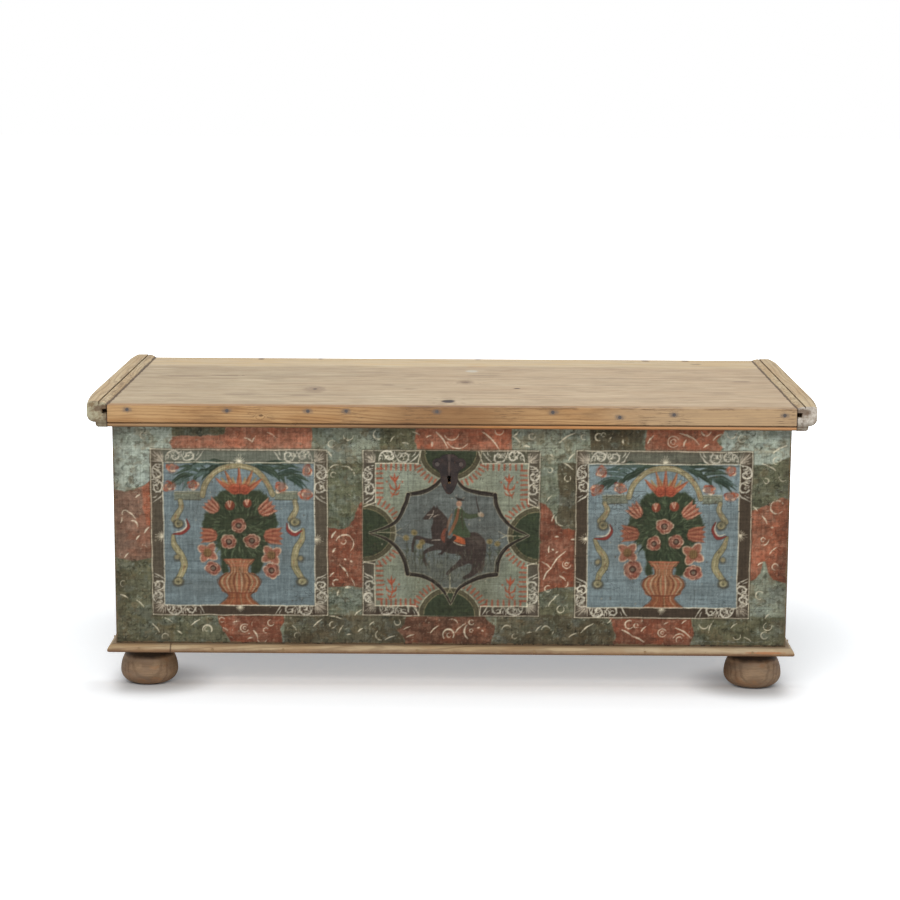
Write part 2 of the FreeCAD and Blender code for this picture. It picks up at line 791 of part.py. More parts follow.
def lock_plate():
    plate = box((lock_offset - lock_plate_half_width, inner_front, key_z - lock_plate_tail),
                (lock_offset + lock_plate_half_width, plate_back, rim - lock_plate_top_gap))
    plate = plate.cut(keyhole(inner_front - overrun, plate_back + overrun))
    plate = drilled(plate, lock_nail_places(), iron_nail)
    return drilled(plate, lock_rivet_places(), rivet)


def lock_bolt():
    """The sliding bar, and the talon that the key's bit pushes."""
    half = bolt_height / 2
    bar = box((bolt_end, bolt_front, bolt_z - half), (bolt_tip, bolt_back, bolt_z + half))
    middle = (bolt_front + bolt_back) / 2
    low = key_z + talon_reach
    talon = box((lock_offset - talon_width, middle - talon_thickness / 2, low),
                (lock_offset, middle + talon_thickness / 2, bolt_z))
    notch_x = lock_offset - talon_width / 2
    notch = rod(talon_notch_radius, Vector(notch_x, bolt_front, low), Vector(notch_x, bolt_back, low))
    return joined([bar, talon]).cut(notch)


def lock_bolt_guides():
    half = bolt_height / 2 + bolt_running_gap
    guides = []
    for x in (guide_left, guide_right):
        low = x - guide_width / 2
        block = box((low, plate_back, bolt_z - half - guide_wall),
                    (low + guide_width, guide_back, bolt_z + half + guide_wall))
        window = box((low - overrun, bolt_front - bolt_running_gap, bolt_z - half),
                     (low + guide_width + overrun, bolt_back + bolt_running_gap, bolt_z + half))
        guides.append(block.cut(window))
    return guides


def lock_spring():
    """A bowed leaf that presses on the bolt, held by a square foot."""
    front = (bolt_front + bolt_back) / 2 - spring_width / 2
    tip_z = bolt_z + bolt_height / 2 + bolt_running_gap
    seat_z = tip_z + spring_seat_height
    start_x = guide_left + guide_width

    def at(x, z):
        return Vector(x, front, z)

    end_x = start_x + spring_span
    middle_x = (start_x + end_x) / 2
    middle_z = (seat_z + tip_z) / 2 - spring_sag
    leaf = slab(outline(at(start_x, seat_z), (at(middle_x, middle_z), at(end_x, tip_z)),
                        at(end_x, tip_z + spring_sheet),
                        (at(middle_x, middle_z + spring_sheet), at(start_x, seat_z + spring_sheet))),
                Y * spring_width)
    foot = box((start_x - spring_foot, plate_back, seat_z - spring_foot / 2),
               (start_x, front + spring_width, seat_z + spring_foot / 2))
    return joined([leaf, foot])


def lock_cover():
    """The bridge over the key's way, folded from sheet."""
    def at(x, y):
        return Vector(lock_offset + x, y, key_z - cover_below_key)

    wide = cover_half_width
    foot = wide + cover_flange
    inside = wide - cover_sheet
    roof = cover_back - cover_sheet
    outside = plate_back + cover_sheet
    folded = outline(at(-foot, plate_back), at(-inside, plate_back), at(-inside, roof), at(inside, roof),
                     at(inside, plate_back), at(foot, plate_back), at(foot, outside), at(wide, outside),
                     at(wide, cover_back), at(-wide, cover_back), at(-wide, outside), at(-foot, outside))
    cover = slab(folded, Z * (cover_below_key + cover_above_key))
    return drilled(cover, lock_rivet_places(), rivet)


def lock_drill_pin():
    return rod(drill_pin_radius, Vector(lock_offset, plate_back + drill_pin_tip_gap, key_z),
               Vector(lock_offset, cover_back - cover_sheet, key_z))


def lid_staple():
    """A nailed plate under the lid with a square loop hanging from it."""
    right = staple_left + staple_thickness
    middle = (staple_left + right) / 2
    inner_low = staple_low + staple_bar
    inner_high = bolt_z + bolt_height / 2 + staple_headroom
    loop_back = bolt_back + staple_clearance + staple_bar
    plate = box((middle - staple_plate_width / 2, staple_front, rim - staple_plate_thickness),
                (middle + staple_plate_width / 2, staple_front + staple_plate_length, rim))
    hanger = box((staple_left, staple_front, staple_low), (right, loop_back, rim))
    window = box((staple_left - overrun, bolt_front - staple_clearance, inner_low),
                 (right + overrun, bolt_back + staple_clearance, inner_high))
    return drilled(joined([plate, hanger]).cut(window), staple_nail_places(), iron_nail)


# Escutcheon

# Half outline, as shares of half the width and of the height: pairs are an arc's middle and end
escutcheon_shares = (((0.34, 0.012), (0.56, 0.10)), ((1.0, 0.185), (0.86, 0.345)),
                     ((0.61, 0.43), (0.52, 0.58)), ((0.44, 0.77), (0.23, 0.93)),
                     ((0.14, 0.982), (0.0, 1.0)))


def shield(shrink, low_y, thickness):
    top = key_z + escutcheon_above_key
    middle_z = top - escutcheon_height / 2

    def at(across, down):
        x = lock_offset + across * shrink * escutcheon_width / 2
        z = middle_z + shrink * (top - down * escutcheon_height - middle_z)
        return Vector(x, low_y, z)

    steps = [(at(*via), at(*end)) for via, end in escutcheon_shares]
    ends = [(0.0, 0.0)] + [end for via, end in escutcheon_shares]
    for number in reversed(range(len(escutcheon_shares))):
        via = escutcheon_shares[number][0]
        back = ends[number]
        steps.append((at(-via[0], via[1]), at(-back[0], back[1])))
    return slab(outline(at(0, 0), *steps), Y * thickness)


def escutcheon():
    sheet_y = carcass_front - escutcheon_sheet
    relief_y = sheet_y - escutcheon_relief
    rib_top = key_z + escutcheon_above_key * escutcheon_relief_share
    rib = rod(escutcheon_rib_radius, Vector(lock_offset, relief_y, key_z + keyhole_radius),
              Vector(lock_offset, relief_y, rib_top))
    in_front = box((-lid_half, lid_front - overrun, 0), (lid_half, carcass_front, lid_top))
    plate = joined([shield(1, sheet_y, escutcheon_sheet), rib.common(in_front),
                    shield(escutcheon_relief_share, relief_y, escutcheon_relief)])
    plate = plate.cut(keyhole(lid_front, carcass_front + overrun))
    return drilled(plate, escutcheon_nail_places(), iron_nail)


# Drop handles, made for the right end

def handle_plate():
    half_y = handle_plate_length / 2
    half_z = handle_plate_width / 2
    waist = half_z / 2

    def at(y, z):
        return Vector(carcass_half, handle_y + y, handle_z + z)

    wire = outline(at(-half_y, 0), at(-half_y + waist, waist), at(-half_y + 2 * waist, half_z),
                   at(half_y - 2 * waist, half_z), at(half_y - waist, waist), at(half_y, 0),
                   at(half_y - waist, -waist), at(half_y - 2 * waist, -half_z),
                   at(-half_y + 2 * waist, -half_z), at(-half_y + waist, -waist))
    plate = slab(wire, X * handle_plate_thickness).cut(handle_shank_holes())
    return drilled(plate, handle_nail_places(), iron_nail)


def handle_posts():
    posts = []
    for end in (-1, 1):
        y = handle_y + end * handle_post_spread / 2
        low = y - handle_eye_width / 2
        eye = rod(handle_eye_radius, Vector(handle_x, low, handle_z),
                  Vector(handle_x, low + handle_eye_width, handle_z))
        inside = Vector(inner_half - handle_rove_thickness, y, handle_z)
        shank = rod(handle_shank_radius, inside, Vector(handle_x, y, handle_z))
        rove = rod(handle_rove_radius, inside, inside + X * handle_rove_thickness)
        bore = rod(bail_radius + bail_bore_clearance, Vector(handle_x, low - overrun, handle_z),
                   Vector(handle_x, low + handle_eye_width + overrun, handle_z))
        posts.append(joined([eye, shank, rove]).cut(bore))
    return posts


def bent_rod(radius, start, runs):
    """A round bar along straight runs and quarter bends: a direction, a length and a bend radius each."""
    pieces = []
    here = start
    for number, (heading, length, bend) in enumerate(runs):
        there = here + heading * length
        pieces.append(rod(radius, here, there))
        here = there
        if bend:
            turn_to = runs[number + 1][0]
            centre = here + turn_to * bend
            ring = Part.Face(Part.Wire(Part.makeCircle(radius, here, heading)))
            pieces.append(ring.revolve(centre, heading.cross(turn_to), 90))
            here = centre + heading * bend
    return joined(pieces)


def handle_bail():
    """One bent bar: journals in the eyes, two legs and a grip with a swelling."""
    outer = handle_post_spread / 2 + handle_eye_width / 2 + bail_journal_overhang
    shoulder = bail_shoulder_radius
    leg = handle_post_spread / 2 - handle_eye_width / 2 - shoulder - bail_side_gap
    corner = bail_corner_radius
    start = Vector(handle_x, handle_y - outer, handle_z)
    bar = bent_rod(bail_radius, start, [
        (Y, outer - leg - shoulder, shoulder),
        (-Z, bail_drop - shoulder - corner, corner),
        (Y, 2 * leg - 2 * corner, corner),
        (Z, bail_drop - shoulder - corner, shoulder),
        (Y, outer - leg - shoulder, 0)])
    grip_z = handle_z - bail_drop
    half = bail_swell_length / 2

    def at(y, radius):
        return Vector(handle_x, handle_y + y, grip_z + radius)

    swell = outline(at(-half, 0), at(-half, bail_radius), (at(0, bail_swell_radius), at(half, bail_radius)),
                    at(half, 0))
    return joined([bar, Part.Face(swell).revolve(Vector(handle_x, handle_y, grip_z), Y, 360)])


def write_carcass():
    write("front_panel", front_panel())
    write("back_panel", back_panel())
    write("left_end_panel", end_panel(-1))
    write("right_end_panel", end_panel(1))
    first, second = bottom_joint_shares
    write("bottom_board_front", bottom_board(0, first))
    write("bottom_board_middle", bottom_board(first, second))
    write("bottom_board_back", bottom_board(second, 1))
    write("bottom_nails", nails(bottom_nail_places(), wood_nail))
    seam = -carcass_half - plinth_projection + plinth_patch_length
    far = carcass_half + plinth_projection
    write("plinth_front", plinth_front(seam + plinth_joint_gap, far))
    write("plinth_front_patch", plinth_front(-far, seam))
    write("plinth_right", plinth_side())
    write("plinth_left", other_side(plinth_side()))
    write("plinth_nails", nails(plinth_nail_places(), trim_nail))
    for name, (x, y) in foot_places().items():
        write("foot_" + name, bun_foot(x, y))
    write("foot_wedges", [wedge(x, y) for x, y in foot_places().values()])


def write_lid():
    first, second = lid_joint_shares
    write("lid_board_front", lid_board(0, first))
    write("lid_board_middle", lid_board(first, second))
    write("lid_board_back", lid_board(second, 1))
    write("lid_front_strip", lid_front_strip())
    write("lid_strip_nails", nails(strip_nail_places(), wood_nail))
    left = other_side(lid_cleat(cleat_rise_left, cleat_end_radius_left))
    right = lid_cleat(cleat_rise_right, cleat_end_radius_right)
    write("lid_cleat_left", drilled(left, cleat_nail_places(), cleat_nail))
    write("lid_cleat_right", drilled(right, cleat_nail_places(), cleat_nail))
    write("lid_cleat_nails", nails(cleat_nail_places(), cleat_nail))


def write_ironwork():
    for name, side in (("left", -1), ("right", 1)):
        write("hinge_strap_" + name, hinge_strap(side))
        write("hinge_leaf_" + name, hinge_leaf(side))
        write("hinge_pin_" + name, hinge_pin(side))
    write("hinge_strap_nails", nails(strap_nail_places(), iron_nail))
    write("hinge_leaf_nails", nails(leaf_nail_places(), iron_nail))
    write("escutcheon", escutcheon())
    write("escutcheon_nails", nails(escutcheon_nail_places(), iron_nail))
    write("handle_plate_right", handle_plate())
    write("handle_plate_left", other_side(handle_plate()))
    write("handle_posts_right", handle_posts())
    write("handle_posts_left", [other_side(post) for post in handle_posts()])
    write("handle_bail_right", handle_bail())
    write("handle_bail_left", other_side(handle_bail()))
    write("handle_plate_nails", nails(handle_nail_places(), iron_nail))


def write_lock():
    write("lock_plate", lock_plate())
    write("lock_bolt", lock_bolt())
    write("lock_bolt_guides", lock_bolt_guides())
    write("lock_spring", lock_spring())
    write("lock_cover", lock_cover())
    write("lock_drill_pin", lock_drill_pin())
    write("lock_nails", nails(lock_nail_places(), iron_nail))
    write("lock_cover_rivets", nails(lock_rivet_places(), rivet))
    write("lid_staple", lid_staple())
    write("lid_staple_nails", nails(staple_nail_places(), iron_nail))


os.makedirs("parts", exist_ok=True)
write_carcass()
write_lid()
write_ironwork()
write_lock()
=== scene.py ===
# %% [markdown]
# # A painted blanket chest
# This notebook dresses a finished model of an old alpine chest. The wood, iron and joints come from the
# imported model, already in place and in metres. Here they get their colours, grain, paint and wear, the
# front gets its picture, and a camera and soft studio light look at it.

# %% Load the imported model
import json
import math

import bpy
import numpy as np
from mathutils import Matrix, Vector


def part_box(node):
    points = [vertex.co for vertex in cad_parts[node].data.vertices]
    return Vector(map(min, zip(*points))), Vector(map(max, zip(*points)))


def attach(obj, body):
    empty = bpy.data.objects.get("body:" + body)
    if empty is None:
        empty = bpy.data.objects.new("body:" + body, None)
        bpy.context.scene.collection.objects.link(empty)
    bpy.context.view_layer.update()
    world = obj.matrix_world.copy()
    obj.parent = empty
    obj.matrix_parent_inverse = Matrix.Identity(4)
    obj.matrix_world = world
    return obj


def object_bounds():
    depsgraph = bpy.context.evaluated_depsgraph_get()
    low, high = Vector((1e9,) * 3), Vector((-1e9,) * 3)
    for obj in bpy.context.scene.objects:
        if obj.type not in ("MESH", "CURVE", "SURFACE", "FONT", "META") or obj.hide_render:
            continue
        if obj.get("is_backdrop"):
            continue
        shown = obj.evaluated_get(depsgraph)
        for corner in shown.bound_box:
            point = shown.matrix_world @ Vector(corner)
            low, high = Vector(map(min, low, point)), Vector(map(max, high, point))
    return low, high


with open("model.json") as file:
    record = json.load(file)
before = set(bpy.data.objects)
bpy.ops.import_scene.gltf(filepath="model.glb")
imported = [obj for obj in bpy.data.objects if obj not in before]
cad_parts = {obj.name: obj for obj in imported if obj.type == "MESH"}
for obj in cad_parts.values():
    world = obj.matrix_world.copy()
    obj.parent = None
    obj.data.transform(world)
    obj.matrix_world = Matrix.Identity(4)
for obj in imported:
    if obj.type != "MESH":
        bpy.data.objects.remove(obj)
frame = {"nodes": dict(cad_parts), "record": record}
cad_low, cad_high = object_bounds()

scene = bpy.context.scene
mm = 0.001
nodes = frame["nodes"]

# %% [markdown]
# ## The camera
# The photograph was taken from a little above the lid with a long lens, so the sides of the chest hardly
# converge. The place and the angles below come from fitting a camera to the chest's corners. They are kept
# as four small turns, because a camera that is only pointed at the middle would lose the slight tilt.

# %% A camera where the photographer stood
camera_place = Vector((0.0218, -4.6168, 1.2284))
look_left, look_down, tilt = 0.0058, 0.1729, 0.0051
focal_length = 90.26
camera = bpy.data.objects.new("camera", bpy.data.cameras.new("camera"))
camera.data.sensor_width = 36.0
camera.data.lens = focal_length
camera.matrix_world = (Matrix.Translation(camera_place) @ Matrix.Rotation(look_left, 4, "Z")
    @ Matrix.Rotation(math.pi / 2 - look_down, 4, "X") @ Matrix.Rotation(tilt, 4, "Z"))
scene.collection.objects.link(camera)
scene.camera = camera
print("camera", round(camera_place.length, 2), "m from the origin, lens", focal_length)

# %% [markdown]
# ## Shader sums in plain Python
# A Blender material is a graph of nodes, which is slow to build by hand and hard to read. Here a socket is
# wrapped in a small class, so that `grain * 0.4 + knots` adds the Math nodes by itself. Colours and places
# go through Vector Math and Mix instead, because a Math node would turn a colour grey. All places in the
# recipes are in millimetres on the chest, so a scale of 0.1 means spots about ten millimetres wide.

# %% A socket that can be added and multiplied
def pot(red, green, blue):
    """A colour written as on a screen, 0 to 255, as the linear light that a shader wants."""
    levels = np.array([red, green, blue]) / 255
    return tuple(float(c / 12.92 if c <= 0.04045 else ((c + 0.055) / 1.055) ** 2.4) for c in levels)


class Value:
    def __init__(self, recipe, socket):
        self.recipe, self.socket = recipe, socket

    def combine(self, operation, first, second):
        plain = all(item.socket.type == "VALUE" if isinstance(item, Value) else not isinstance(item, tuple)
            for item in (first, second))
        kind = "ShaderNodeMath" if plain else "ShaderNodeVectorMath"
        return self.recipe.node(kind, {"operation": operation}, {0: first, 1: second})

    def __add__(self, other):
        return self.combine("ADD", self, other)

    def __sub__(self, other):
        return self.combine("SUBTRACT", self, other)

    def __rsub__(self, other):
        return self.combine("SUBTRACT", other, self)

    def __mul__(self, other):
        return self.combine("MULTIPLY", self, other)

    def __pow__(self, other):
        return self.combine("POWER", self, other)

    __radd__ = __add__
    __rmul__ = __mul__

    def highest(self, other):
        return self.combine("MAXIMUM", self, other)

    def size(self):
        return self.recipe.node("ShaderNodeMath", {"operation": "ABSOLUTE"}, {0: self})

    def part(self, name):
        """X, Y or Z of a place."""
        return self.recipe.node("ShaderNodeSeparateXYZ", {}, {0: self}, name)

    def rise(self, low, high):
        """A soft step: 0 below the low value, 1 above the high one. Low above high turns it round."""
        turned = low > high
        low, high = (high, low) if turned else (low, high)
        step = self.recipe.node("ShaderNodeMapRange", {"interpolation_type": "SMOOTHSTEP"},
            {"Value": self, "From Min": low, "From Max": high})
        return 1 - step if turned else step

    def mix(self, first, second):
        """The first colour where this mask is 0, the second where it is 1."""
        return self.recipe.node("ShaderNodeMix", {"data_type": "RGBA"}, {0: self, 6: first, 7: second}, 2)

    def over(self, colour, strength, *coat):
        """A coat over a colour where this mask is 1: three numbers from the pot, or another colour."""
        return (self * strength).mix(colour, pot(*coat) if len(coat) == 3 else coat[0])


print("half red plus half blue:", [round(c, 3) for c in pot(128, 0, 128)])


# %% A recipe: one material and the nodes that make it
class Recipe:
    def __init__(self, name, owner=None):
        self.owner = owner or bpy.data.materials.new(name)
        self.owner.use_nodes = True
        self.tree = self.owner.node_tree
        self.tree.nodes.clear()
        place = self.node("ShaderNodeTexCoord", {}, {}, "Object")
        self.place = place * (1000.0, 1000.0, 1000.0)

    def node(self, kind, settings=None, inputs=None, output=0):
        """Any node: its type, its settings, what goes into its sockets, and which output to use."""
        made = self.tree.nodes.new(kind)
        for name, value in (settings or {}).items():
            setattr(made, name, value)
        for name, value in (inputs or {}).items():
            socket = made.inputs[name]
            if isinstance(value, Value):
                self.tree.links.new(value.socket, socket)
            elif socket.type == "RGBA":
                socket.default_value = tuple(value) + (1.0,)
            elif socket.type == "VECTOR" and not isinstance(value, tuple):
                socket.default_value = (value, value, value)
            else:
                socket.default_value = value
        return Value(self, made.outputs[output]) if made.outputs else None

    def spots(self, scale, detail=3.0, rough=0.55, at=None):
        """Cloudy noise from 0 to 1. The scale is one number, or three for stretched clouds."""
        place = self.place if at is None else at
        if isinstance(scale, tuple):
            place, scale = place * scale, 1.0
        inputs = {"Vector": place, "Scale": scale, "Detail": detail, "Roughness": rough}
        return self.node("ShaderNodeTexNoise", {}, inputs)

    def satin(self, level):
        """A roughness that drifts softly round a level."""
        return self.spots(0.03, 3.0) * 0.2 + level

    def near(self, point, stretch=(1.0, 1.0, 1.0)):
        """Millimetres from a point, with each direction stretched."""
        offset = (self.place - tuple(point)) * stretch
        return self.node("ShaderNodeVectorMath", {"operation": "LENGTH"}, {0: offset}, "Value")

    def finish(self, colour, roughness, height=None, bump=0.9, metallic=None, specular=0.2):
        """Closes the recipe with the surface shader. The height of the bumps is in millimetres."""
        inputs = {"Base Color": colour, "Roughness": roughness, "Specular IOR Level": specular}
        if metallic is not None:
            inputs["Metallic"] = metallic
        if height is not None:
            bumps = {"Height": height, "Distance": mm, "Strength": bump}
            inputs["Normal"] = self.node("ShaderNodeBump", {}, bumps)
        shader = self.node("ShaderNodeBsdfPrincipled", {}, inputs)
        self.node("ShaderNodeOutputMaterial", {}, {"Surface": shader})
        return self.owner


def wear(node_names, material):
    """Gives a material to every material slot of the named solids."""
    for name in node_names:
        mesh = nodes[name].data
        if not mesh.materials:
            mesh.materials.append(None)
        for number in range(len(nodes[name].material_slots)):
            nodes[name].material_slots[number].link = "OBJECT"
            nodes[name].material_slots[number].material = material


print("recipes ready")

# %% [markdown]
# ## A white studio
# The photograph has a pure white background and only a soft shadow under the chest. The world gives an
# even light to the chest, but shows white to the camera and to reflections. The floor is a pale sheet. It
# glows a little for the camera alone, more with every step away from the chest, so that it fades into the
# white behind it while the shadow between the feet stays. The floor glows less in a band in front of and
# beside the chest, and round each foot it also has a darker colour: a painted shadow, deepest round each
# foot.

# %% World and floor
world = bpy.data.worlds.new("studio")
scene.world = world
sky = Recipe("studio", world)
seen = sky.node("ShaderNodeLightPath", {}, {}, "Is Camera Ray")
for kind in ("Is Glossy Ray", "Is Transmission Ray"):
    seen = seen.highest(sky.node("ShaderNodeLightPath", {}, {}, kind))
lighting = sky.node("ShaderNodeBackground", {}, {"Color": (1.0, 1.0, 1.0), "Strength": 0.50})
showing = sky.node("ShaderNodeBackground", {}, {"Color": (1.0, 1.0, 1.0), "Strength": 1.0})
chosen = sky.node("ShaderNodeMixShader", {}, {0: seen, 1: lighting, 2: showing})
sky.node("ShaderNodeOutputWorld", {}, {"Surface": chosen})

floor_mesh = bpy.data.meshes.new("studio_floor")
floor_mesh.from_pydata([(-30, -30, 0), (30, -30, 0), (30, 30, 0), (-30, 30, 0)], [], [(0, 1, 2, 3)])
floor = bpy.data.objects.new("studio_floor", floor_mesh)
scene.collection.objects.link(floor)
floor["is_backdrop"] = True
sheet = Recipe("studio_floor")
x, y = sheet.place.part("X"), sheet.place.part("Y")
beside = ((x + 10.0).size() - 655.0).highest(0.0)
before = (y.size() - 250.0).highest(0.0)
# Painted shadow: the glow dips in a band just in front of and beside the chest.
edge = (before.rise(0.0, 48.0) * -0.19 + before.rise(75.0, 140.0) * 0.09) * beside.rise(100.0, 10.0)
beyond = (beside ** 2 + before ** 2) ** 0.5
glow = edge + beyond.rise(160.0, 300.0) * 0.06 + beyond.rise(300.0, 1800.0) * 0.9 + 0.38
# Painted shadow round each foot: the floor glows less there and its colour is darker.
from_foot = ((x.size() - 600.0) ** 2 + (y + 262.0) ** 2) ** 0.5
painted_foot_shadow = from_foot.rise(160.0, 50.0) * x.size().rise(690.0, 630.0)
glow = (glow - painted_foot_shadow * 0.20).highest(0.0)
to_camera = sheet.node("ShaderNodeLightPath", {}, {}, "Is Camera Ray")
floor_material = sheet.finish((painted_foot_shadow * -0.30 + 0.88) * (1.0, 1.0, 1.0), 0.9, specular=0.0)
floor_shader = sheet.tree.nodes["Principled BSDF"]
floor_shader.inputs["Emission Strength"].default_value = 1.0
sheet.tree.links.new((glow * to_camera * (0.97, 1.02, 1.07)).socket, floor_shader.inputs["Emission Color"])
floor_mesh.materials.append(floor_material)
print("floor and world ready")

# %% Soft lamps
def lamp(name, place, target, size, power):
    """A square soft light in metres and watts, pointed at a target."""
    light = bpy.data.lights.new(name, "AREA")
    light.size, light.energy = size, power
    holder = bpy.data.objects.new(name, light)
    direction = Vector(target) - Vector(place)
    holder.matrix_world = Matrix.Translation(place) @ direction.to_track_quat("-Z", "Y").to_matrix().to_4x4()
    scene.collection.objects.link(holder)


lamp("key_light", (-0.7, -3.0, 3.1), (0.0, 0.0, 0.3), 2.2, 84.0)
lamp("fill_light", (2.2, -2.7, 2.0), (0.0, 0.0, 0.3), 2.0, 16.0)
lamp("top_light", (0.2, 0.9, 3.2), (0.0, 0.0, 0.5), 2.4, 23.0)
scene.view_settings.view_transform = "Standard"
print("three lamps")

# %% [markdown]
# ## The painter's board
# The front of this chest is one wide picture, and it is painted here stroke by stroke, as the first
# painter did it. The board is a fine net of points, 1.45 mm apart. Each holds a colour, and each brush
# mark changes the points that it covers. Later the net becomes a thin skin of paint on the wood. Places
# on the board are millimetres across from the middle of the chest and up from the floor.

# %% The net of points that will carry the paint
front_low, front_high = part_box("front_panel")
paint_left, paint_right = front_low.x / mm, front_high.x / mm
paint_bottom, paint_top = front_low.z / mm, front_high.z / mm
net_pitch = 1.45
columns = round((paint_right - paint_left) / net_pitch) + 1
rows = round((paint_top - paint_bottom) / net_pitch) + 1
across = np.linspace(paint_left, paint_right, columns)
height = np.linspace(paint_bottom, paint_top, rows)
ACROSS, HEIGHT = np.meshgrid(across, height)
print("paint net", columns, "x", rows, "points, wood from", round(paint_left), "to", round(paint_right))


# %% Smooth chance, the source of every uneven edge and cloudy patch
def clouds(wide, tall, seed, layers=1):
    """Soft noise from -1 to 1 over the board, with spots of the given size in millimetres."""
    total = np.zeros_like(ACROSS)
    weight = 1.0
    sum_of_weights = 0.0
    for layer in range(layers):
        dice = np.random.RandomState(seed * 31 + layer)
        u = (ACROSS - paint_left) / wide
        v = (HEIGHT - paint_bottom) / tall
        grid = dice.uniform(-1, 1, (int(v.max()) + 3, int(u.max()) + 3))
        column, row = u.astype(int), v.astype(int)
        part_u, part_v = u - column, v - row
        part_u = part_u * part_u * (3 - 2 * part_u)
        part_v = part_v * part_v * (3 - 2 * part_v)
        low = grid[row, column] * (1 - part_u) + grid[row, column + 1] * part_u
        high = grid[row + 1, column] * (1 - part_u) + grid[row + 1, column + 1] * part_u
        total += weight * (low * (1 - part_v) + high * part_v)
        sum_of_weights += weight
        weight, wide, tall = weight * 0.6, wide / 2.1, tall / 2.1
    return total / sum_of_weights


# A hand is never quite steady, so every mark is drawn in places that are pushed about a little.
SHAKY_ACROSS = ACROSS + 0.8 * clouds(26, 26, 1) + 0.35 * clouds(7, 7, 2)
SHAKY_HEIGHT = HEIGHT + 0.8 * clouds(26, 26, 3) + 0.35 * clouds(7, 7, 4)
BRISTLES = 0.5 + 0.5 * clouds(5, 5, 5, layers=2)
board = np.zeros(ACROSS.shape + (3,))
relief = np.zeros(ACROSS.shape)
print("steadiest and shakiest point, mm:", np.abs(SHAKY_ACROSS - ACROSS).min().round(3),
    np.abs(SHAKY_ACROSS - ACROSS).max().round(2))


# %% Marks: a stroke of the brush and a filled patch
def curve_through(points, steps=6, closed=False):
    """Extra points on a smooth line. The given ones are pairs, or one row of numbers: x, z, x, z."""
    points = np.reshape(points, (-1, 2)).astype(float)
    if len(points) < 3:
        return points
    if closed:
        points = np.vstack([points[-1:], points, points[:2]])
    else:
        points = np.vstack([2 * points[0] - points[1], points, 2 * points[-1] - points[-2]])
    line = []
    for a, b, c, d in zip(points, points[1:], points[2:], points[3:]):
        for step in range(steps):
            t = step / steps
            bends = (2 * a - 5 * b + 4 * c - d) * t ** 2 + (3 * b - a - 3 * c + d) * t ** 3
            line.append((2 * b + (c - a) * t + bends) / 2)
    if not closed:
        line.append(points[-2])
    return np.array(line)


def part_of_board(points, reach):
    low = np.min(points, 0) - reach
    high = np.max(points, 0) + reach
    first = np.searchsorted(across, [low[0], high[0]])
    second = np.searchsorted(height, [low[1], high[1]])
    return slice(second[0], second[1]), slice(first[0], first[1])


def lay_paint(region, distance, colour, cover, edge, dry, thickness):
    """Mixes a colour into the board where the distance to the mark's edge is below zero."""
    amount = np.clip(0.5 - distance / edge, 0, 1) * cover
    if dry:
        bare = np.clip((BRISTLES[region] - (1 - dry)) * 5, 0, 1)
        amount = amount * (1 - bare)
    new = np.array(colour, float) / 255
    board[region] = board[region] * (1 - amount[..., None]) + new * amount[..., None]
    relief[region] = relief[region] * (1 - amount) + thickness * amount


def from_segment(x, z, start, end):
    """How far points are from a straight piece of line, and how far along it they lie, 0 to 1."""
    step_x, step_z = end - start
    along = ((x - start[0]) * step_x + (z - start[1]) * step_z) / (step_x * step_x + step_z * step_z + 1e-9)
    along = np.clip(along, 0, 1)
    return np.hypot(x - start[0] - along * step_x, z - start[1] - along * step_z), along


def stroke(points, width, colour, cover=0.9, edge=1.8, dry=0.25, thickness=0.6, steps=6):
    """A brush mark along a smooth line. The width is one number, or a list of them along the line."""
    line = curve_through(points, steps)
    widths = np.interp(np.linspace(0, 1, len(line)), np.linspace(0, 1, np.size(width)), np.ravel(width))
    region = part_of_board(line, widths.max() / 2 + 3)
    x, z = SHAKY_ACROSS[region], SHAKY_HEIGHT[region]
    if x.size == 0:
        return
    distance = np.full(x.shape, 1e9)
    for start, end, wide, next_wide in zip(line, line[1:], widths, widths[1:]):
        reach, along = from_segment(x, z, start, end)
        distance = np.minimum(distance, reach - (wide + (next_wide - wide) * along) / 2)
    lay_paint(region, distance, colour, cover, edge, dry, thickness)


def patch(points, colour, cover=1.0, edge=1.8, dry=0.0, thickness=0.3, smooth=True, ragged=0.0):
    """A filled outline. A ragged patch has an edge that wanders by so many millimetres."""
    line = curve_through(points, 4, closed=True) if smooth else np.reshape(points, (-1, 2)).astype(float)
    region = part_of_board(line, edge + ragged + 3)
    x, z = SHAKY_ACROSS[region], SHAKY_HEIGHT[region]
    if x.size == 0:
        return
    distance = np.full(x.shape, 1e9)
    inside = np.zeros(x.shape, bool)
    for start, end in zip(line, np.roll(line, -1, 0)):
        distance = np.minimum(distance, from_segment(x, z, start, end)[0])
        if start[1] != end[1]:
            lean = (end[0] - start[0]) / (end[1] - start[1])
            inside ^= ((start[1] > z) != (end[1] > z)) & (x < start[0] + (z - start[1]) * lean)
    distance = np.where(inside, -distance, distance)
    if ragged:
        distance = distance + ragged * EDGE_WANDER[region]
    lay_paint(region, distance, colour, cover, edge, dry, thickness)


def ray(x, z, reach, turn, tall=1.0):
    """The place that lies so far from another, by degrees counted from the right, going up."""
    return x + reach * math.cos(math.radians(turn)), z + reach * tall * math.sin(math.radians(turn))


def dab(x, z, wide, tall, colour, **how):
    """An oval touch of the brush."""
    outline = [ray(x, z, wide / 2, turn, tall / wide) for turn in np.arange(0, 360, 22.5)]
    patch(outline, colour, smooth=False, **how)


def arc(x, z, radius, start, sweep, tall=1.0):
    """Points round a circle."""
    turns = np.linspace(start, start + sweep, max(4, int(abs(sweep) / 25) + 2))
    return [ray(x, z, radius, turn, tall) for turn in turns]


def scatter(dice, amount, x0, z0, x1, z1):
    """Random places in a part of the board, with their numbers."""
    for number in range(amount):
        yield number, dice.uniform(x0, x1), dice.uniform(z0, z1)


